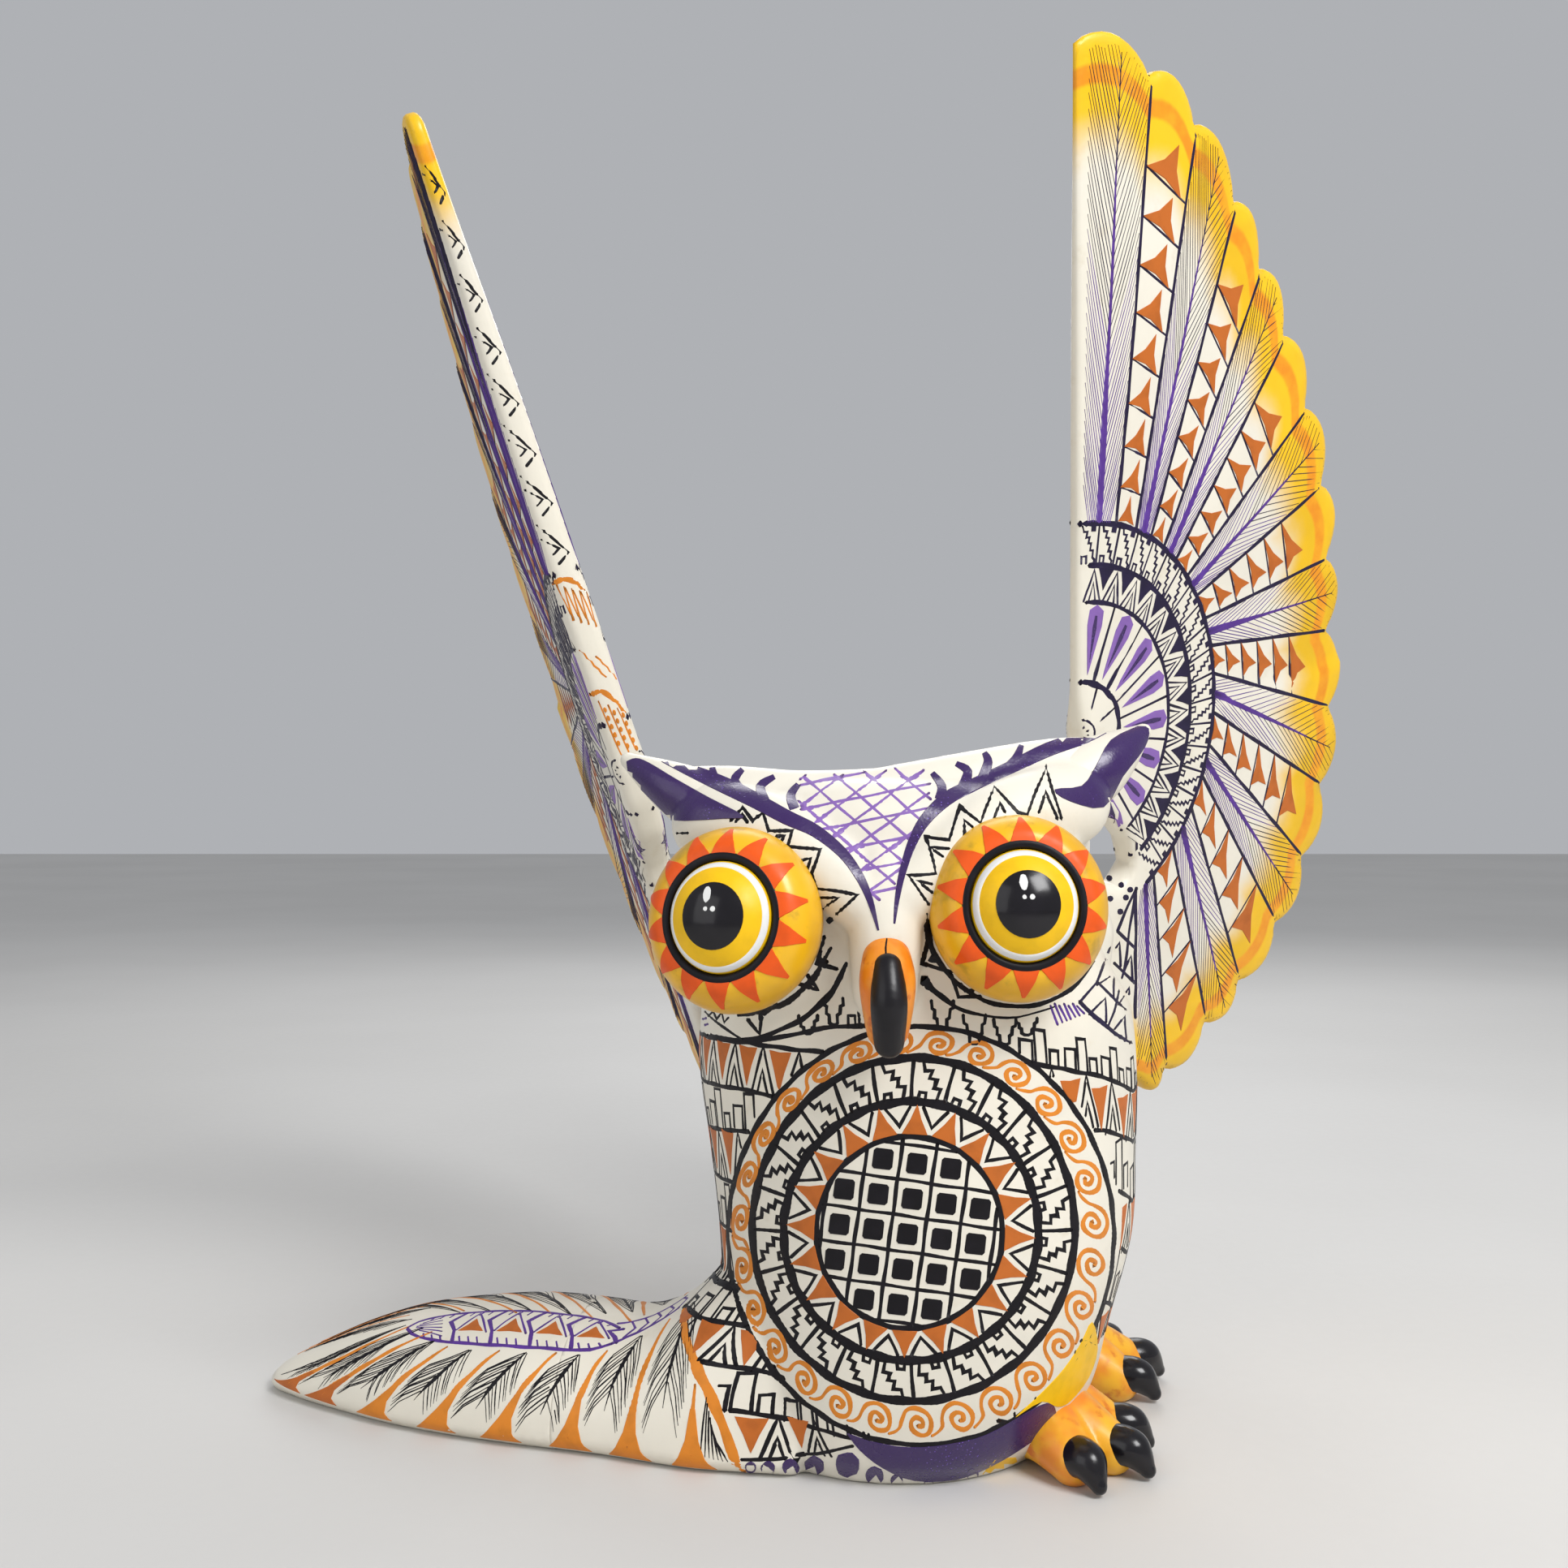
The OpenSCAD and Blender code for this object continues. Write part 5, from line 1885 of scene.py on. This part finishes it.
def paint_head(brush):
    """Violet brows and ears, and the lilac lattice between the brows."""
    brush.fill("violet", swept(LEFT_BROW), 0.8)
    brush.fill("violet", swept(RIGHT_BROW), 0.8)
    for points in BROW_STROKES:
        brush.fill("violet", swept([(x, y, w) for (x, y), w in zip(points, (0.9, 1.6, 1.8))]), 0.8, 0.02)
    for outline in (LEFT_EAR_VIOLET, RIGHT_EAR_VIOLET):
        brush.fill("violet", smooth_outline(outline), 0.8, 0.04)
    on_lattice = lambda x, y: inside([(x, y)], LATTICE_EDGE)[0]
    lattice = Brush(brush.group, brush.body, brush.chart, 1.3, on_lattice, 0.05)
    for rise, spacing in ((-0.86, 4.2), (0.74, 4.2), (0.2, 4.6)):
        drop = -40.0
        while drop < 40:
            z = 130 + drop - 15 * rise
            lattice.line("lilac", [(-30, z), (6, z + 36 * rise)], 0.5)
            drop += spacing * math.hypot(1, rise)


# Zigzag rays round the eyes, with the small points inside them
EYE_RAY_LINES = [
    [(0.8, 117), (-3.2, 122.4), (2.2, 122.8), (0.4, 129.9), (4.7, 129.2), (6.8, 135.6), (10.8, 132.4),
     (13.3, 139.6), (17.9, 134.6), (19.7, 134.2), (23.3, 143.2), (26.2, 133.5)],
    [(1.5, 119.2), (-1.4, 121.3), (1.5, 120.8)], [(3.6, 126), (1.1, 127.9), (4.7, 127.6)],
    [(7.6, 129.9), (7.6, 133.1), (9.3, 131.7)], [(13.3, 133.1), (14.4, 136.4), (15.4, 134.6)],
    [(21.9, 134.6), (23.3, 138.5), (25.4, 133.5)],
    [(0.8, 110.6), (-0.3, 105.6), (5.1, 103.8)], [(1.7, 107.4), (1.2, 106.4), (3.3, 105.6)],
    [(5.1, 103.4), (6.5, 99.1), (10.8, 99.1)], [(6.8, 101.6), (7.8, 100.2), (9.5, 100.4)],
    [(-37.2, 133.1), (-35, 135.6), (-32.9, 132.8), (-31.1, 134.6), (-30, 131), (-25.4, 131), (-26.4, 128.1),
     (-20, 127.4), (-21.8, 122.8), (-20.7, 119.9), (-12.8, 118.8), (-18.6, 113.4)],
    [(-20.7, 118.2), (-16.5, 118.2), (-19.6, 115.9)], [(-23.9, 125.2), (-21.9, 125.7), (-23, 122.6)],
    [(-28.5, 130), (-27, 130), (-27.6, 128.6)], [(-36.3, 132.8), (-35, 134.2), (-34, 132.6)],
    [(-19.3, 110.6), (-20.7, 105.6), (-16.8, 104.5)], [(-20, 107.9), (-20.2, 106.4), (-18.6, 105.8)],
    [(-22.5, 103.4), (-20.7, 100.6), (-24.3, 101.6)],
    [(-28.6, 97.7), (-31.4, 95.6), (-31.7, 92), (-33.9, 94.8)],
    [(-49.3, 127.8), (-48.6, 130.6), (-45.4, 130.6)],
]
# Lids and cheek lines, with their widths
LID_LINES = [
    [(0.5, 115, 0.5), (1.2, 109, 1.0), (5, 103, 0.8), (11.5, 98.4, 0.8), (20, 97.3, 0.8), (28, 100.4, 0.7),
     (32.5, 106, 0.5)],
    [(-15.1, 105.6, 0.5), (-17.9, 99.9, 1.1), (-23.6, 94.8, 0.9), (-30.7, 91.6, 0.8), (-35, 90.9, 0.6)],
    [(-43.5, 97.5, 0.4), (-39, 93.5, 0.5), (-35, 90.9, 0.5)],
    [(0, 102.4, 1.2), (3.6, 98.8, 0.9), (9.3, 95.9, 0.6), (17.9, 95.2, 0.4), (25, 97.3, 0.3)],
    [(-44, 92.6, 0.7), (-35, 90.6, 0.7), (-27.9, 91.3, 0.8), (-19.3, 93.1, 0.8), (-11, 93.6, 0.8)],
    [(-18, 108.5, 0.5), (-22, 102, 0.9), (-28, 97.4, 0.8), (-36, 95.6, 0.6)],
]
# Where stepped points hang under the eyes: x, z, width and height
HANGING_FRETS = [(3.4, 98.4, 4.2, 5.4), (9.6, 95.6, 4.2, 5.6), (15.4, 94.8, 4.2, 4.8), (19.6, 95, 4.2, 3.2),
                 (-17.5, 99, 3.6, 5.2), (-22.4, 95.6, 3.6, 3.6)]


def paint_round_eyes(brush):
    """Rays, lids and cheek lines drawn in black on the wood round the eyes."""
    for points in EYE_RAY_LINES:
        brush.line("black", points, 0.65)
    for points in LID_LINES:
        brush.line("black", curve(points, 4), 1)
    for fret in HANGING_FRETS:
        hanging_fret(brush, *fret)
    for x, tall in ((-14.6, 2.2), (-12.6, 3.0)):
        brush.line("black", [(x, 93.2), (x, 93.2 + tall), (x + 1.2, 93.2 + tall), (x + 1.3, 93.3)], 0.45)
    zigzag = [(-41.5, 95.4), (-40.6, 96.4), (-40, 94.8), (-39, 96), (-38.4, 94.2), (-37.6, 95.2)]
    brush.line("black", zigzag, 0.4)


def hanging_fret(brush, x, z, wide, tall):
    """Stepped point hanging from a line."""
    steps = 3
    left = [(x - wide / 2, z)]
    right = [(x + wide / 2, z)]
    for k in range(1, steps + 1):
        inset, depth = wide / 2 * k / (steps + 0.6), tall * k / steps
        left += [(x - wide / 2 + inset - 0.5, z - depth + 0.3), (x - wide / 2 + inset, z - depth)]
        right += [(x + wide / 2 - inset + 0.5, z - depth + 0.3), (x + wide / 2 - inset, z - depth)]
    brush.line("black", left + right[::-1], 0.6)


# Lines of the fan under the left wing, with their weights
FAN_LINES = [
    ([(40.7, 120), (37.0, 111.8), (33.1, 102), (29.9, 98.1)], 0.5),
    ([(29.9, 98.1), (32.7, 95.3), (36.8, 91.9), (40.4, 89.9)], 0.85),
    ([(40.6, 120), (40.5, 90)], 0.55),
    ([(40.5, 119.7), (38.3, 103.9), (36.4, 96.4), (35.3, 93.4)], 0.45),
    ([(37.0, 111.8), (40.5, 108.4)], 0.55),
    ([(35.5, 106.5), (40.5, 101.7)], 0.55),
    ([(33.1, 102), (40.5, 94.9)], 0.55),
    ([(35.5, 106.5), (37.5, 109.5), (37.6, 105)], 0.42),
    ([(33.1, 101.3), (36.4, 103.7), (36.4, 99)], 0.42),
    ([(38.3, 103.9), (39.6, 106.9), (40, 102.4)], 0.42),
    ([(31.6, 95.7), (34.7, 98.9), (34.9, 94.2)], 0.42),
    ([(37.2, 97.5), (39.3, 100.9), (39.5, 96)], 0.42),
    ([(36.4, 92.9), (38.5, 95.3), (38.7, 91.2)], 0.42),
]
FAN_DOTS = [(35.5, 121.9), (37.8, 120.6), (39.5, 119.7), (38.7, 118.2), (35.7, 118), (37.6, 115.5)]


def paint_shoulder(brush):
    """Purple hatching on both shoulders, and the fan of triangles under the left wing."""
    for k in range(7):
        x = 24.2 + k * 0.85
        brush.line("purple", [(x, 97.4 + 0.4 * (k % 2)), (x + 1.4, 93.8 + 0.35 * k)], 0.42)
    for k in range(9):
        z = 102.6 - k * 1.15
        brush.line("purple", [(-45.6 + 0.33 * k, z), (-44.2 + 0.33 * k, z + 0.5)], 0.5)
    for points, weight in FAN_LINES:
        brush.line("navy", points, weight)
    for x, z in FAN_DOTS:
        brush.dot("navy", x, z, 0.5, points=8)


# ---- paint on the eyes and beak ---------------------------------------------

PUPIL_R = 6.25
EYE_RAYS = 14
# Share of the way to the next ray, and distance from the middle
EYE_RAY = ((-0.5, 11.9), (0, 11.9), (0.5, 11.9), (0.28, 14.3), (0.04, 17.0), (-0.03, 17.0), (-0.27, 14.3))


def paint_eye(side, eye):
    """Orange rays on the yellow ring, the black pupil and its painted glints."""
    parts = [bpy.data.objects[f"{side}_eye_{part}_turned"] for part in ("ring", "dome")]
    brush = Brush(f"{side}_eye", "figure", PlaneChart(Surface(*parts), eye_matrix(eye)), 0.8, None, 0.03)
    for k in range(EYE_RAYS):
        at = lambda s, r: polar(360 * (k + s) / EYE_RAYS, r)
        brush.fill("vermilion", [at(s, r) for s, r in EYE_RAY], height=0.05)
    brush.fill("pupil", circle(PUPIL_R, 40))
    brush.dot("white", -1.0, 3.9, 0.8, 1.5)
    brush.dot("white", -1.0, 1.2, 0.4, points=9)
    brush.dot("white", 0.5, 1.2, 0.5, points=9)


def paint_beak(brush):
    """Short dark line down the top of the beak."""
    brush.line("black", [(-7.2, 110.4, 0.25), (-7.4, 108.6, 0.4), (-7.5, 106.6, 0.5)], 1)


# ---- the owl, piece by piece, and then its paint ----------------------------

def paint_figure(trunk, tail, ears, left_board):
    """Everything that is painted on the figure, from the trunk up."""
    skin = Surface(trunk, tail)
    wrap = WrapChart(skin)
    paint_bands(Brush("trunk", "figure", wrap, 1.8, band_region))
    paint_nape(Brush("trunk", "figure", wrap, 1.8))
    paint_tail_root(Brush("trunk", "figure", wrap, 1.3))
    figure_skin = Surface(trunk, tail, *ears)
    front = FrontChart(figure_skin)
    paint_mandala(Brush("trunk", "figure", front, 1.3))
    paint_base(Brush("trunk", "figure", front, 1.3))
    head = Brush("head", "figure", front, 1.3)
    paint_head(head)
    paint_round_eyes(head)
    # the fan under the left wing runs over from the figure on to the wing
    wing_skin = Surface(left_board)
    paint_shoulder(Brush("shoulder", "figure", FrontChart(figure_skin, wing_skin), 1.3, jump=9))
    paint_shoulder(Brush("shoulder", "left_wing", FrontChart(wing_skin, figure_skin), 1.3, jump=9))
    paint_tail(skin)
    paint_beak(Brush("beak", "figure", FrontChart(Surface(bpy.data.objects["beak_surround_carved"])), 1.0))
    paint_eye("left", LEFT_EYE)
    paint_eye("right", RIGHT_EYE)


def paint_wings(boards):
    """Both faces of each wing, and the one leading edge that faces forward."""
    for wing, made in zip(WINGS, boards):
        skin = Surface(made)
        for side in (1, -1):
            paint_wing_face(wing, skin, side)
        if wing.name == "right_wing":
            paint_leading_edge(wing, skin)


make_stage()
trunk = make_trunk()
tail = make_tail()
wing_boards = [w.make() for w in WINGS]
ears = [make_ear("left_ear", LEFT_EAR), make_ear("right_ear", RIGHT_EAR)]
make_eye("left", LEFT_EYE, 9.2)
make_eye("right", RIGHT_EYE, 9.3)
make_beak()
make_foot(NEAR_FOOT)
make_foot(FAR_FOOT)
dress_hidden_pieces()
paint_figure(trunk, tail, ears, wing_boards[0])
paint_wings(wing_boards)
finish_paintwork()
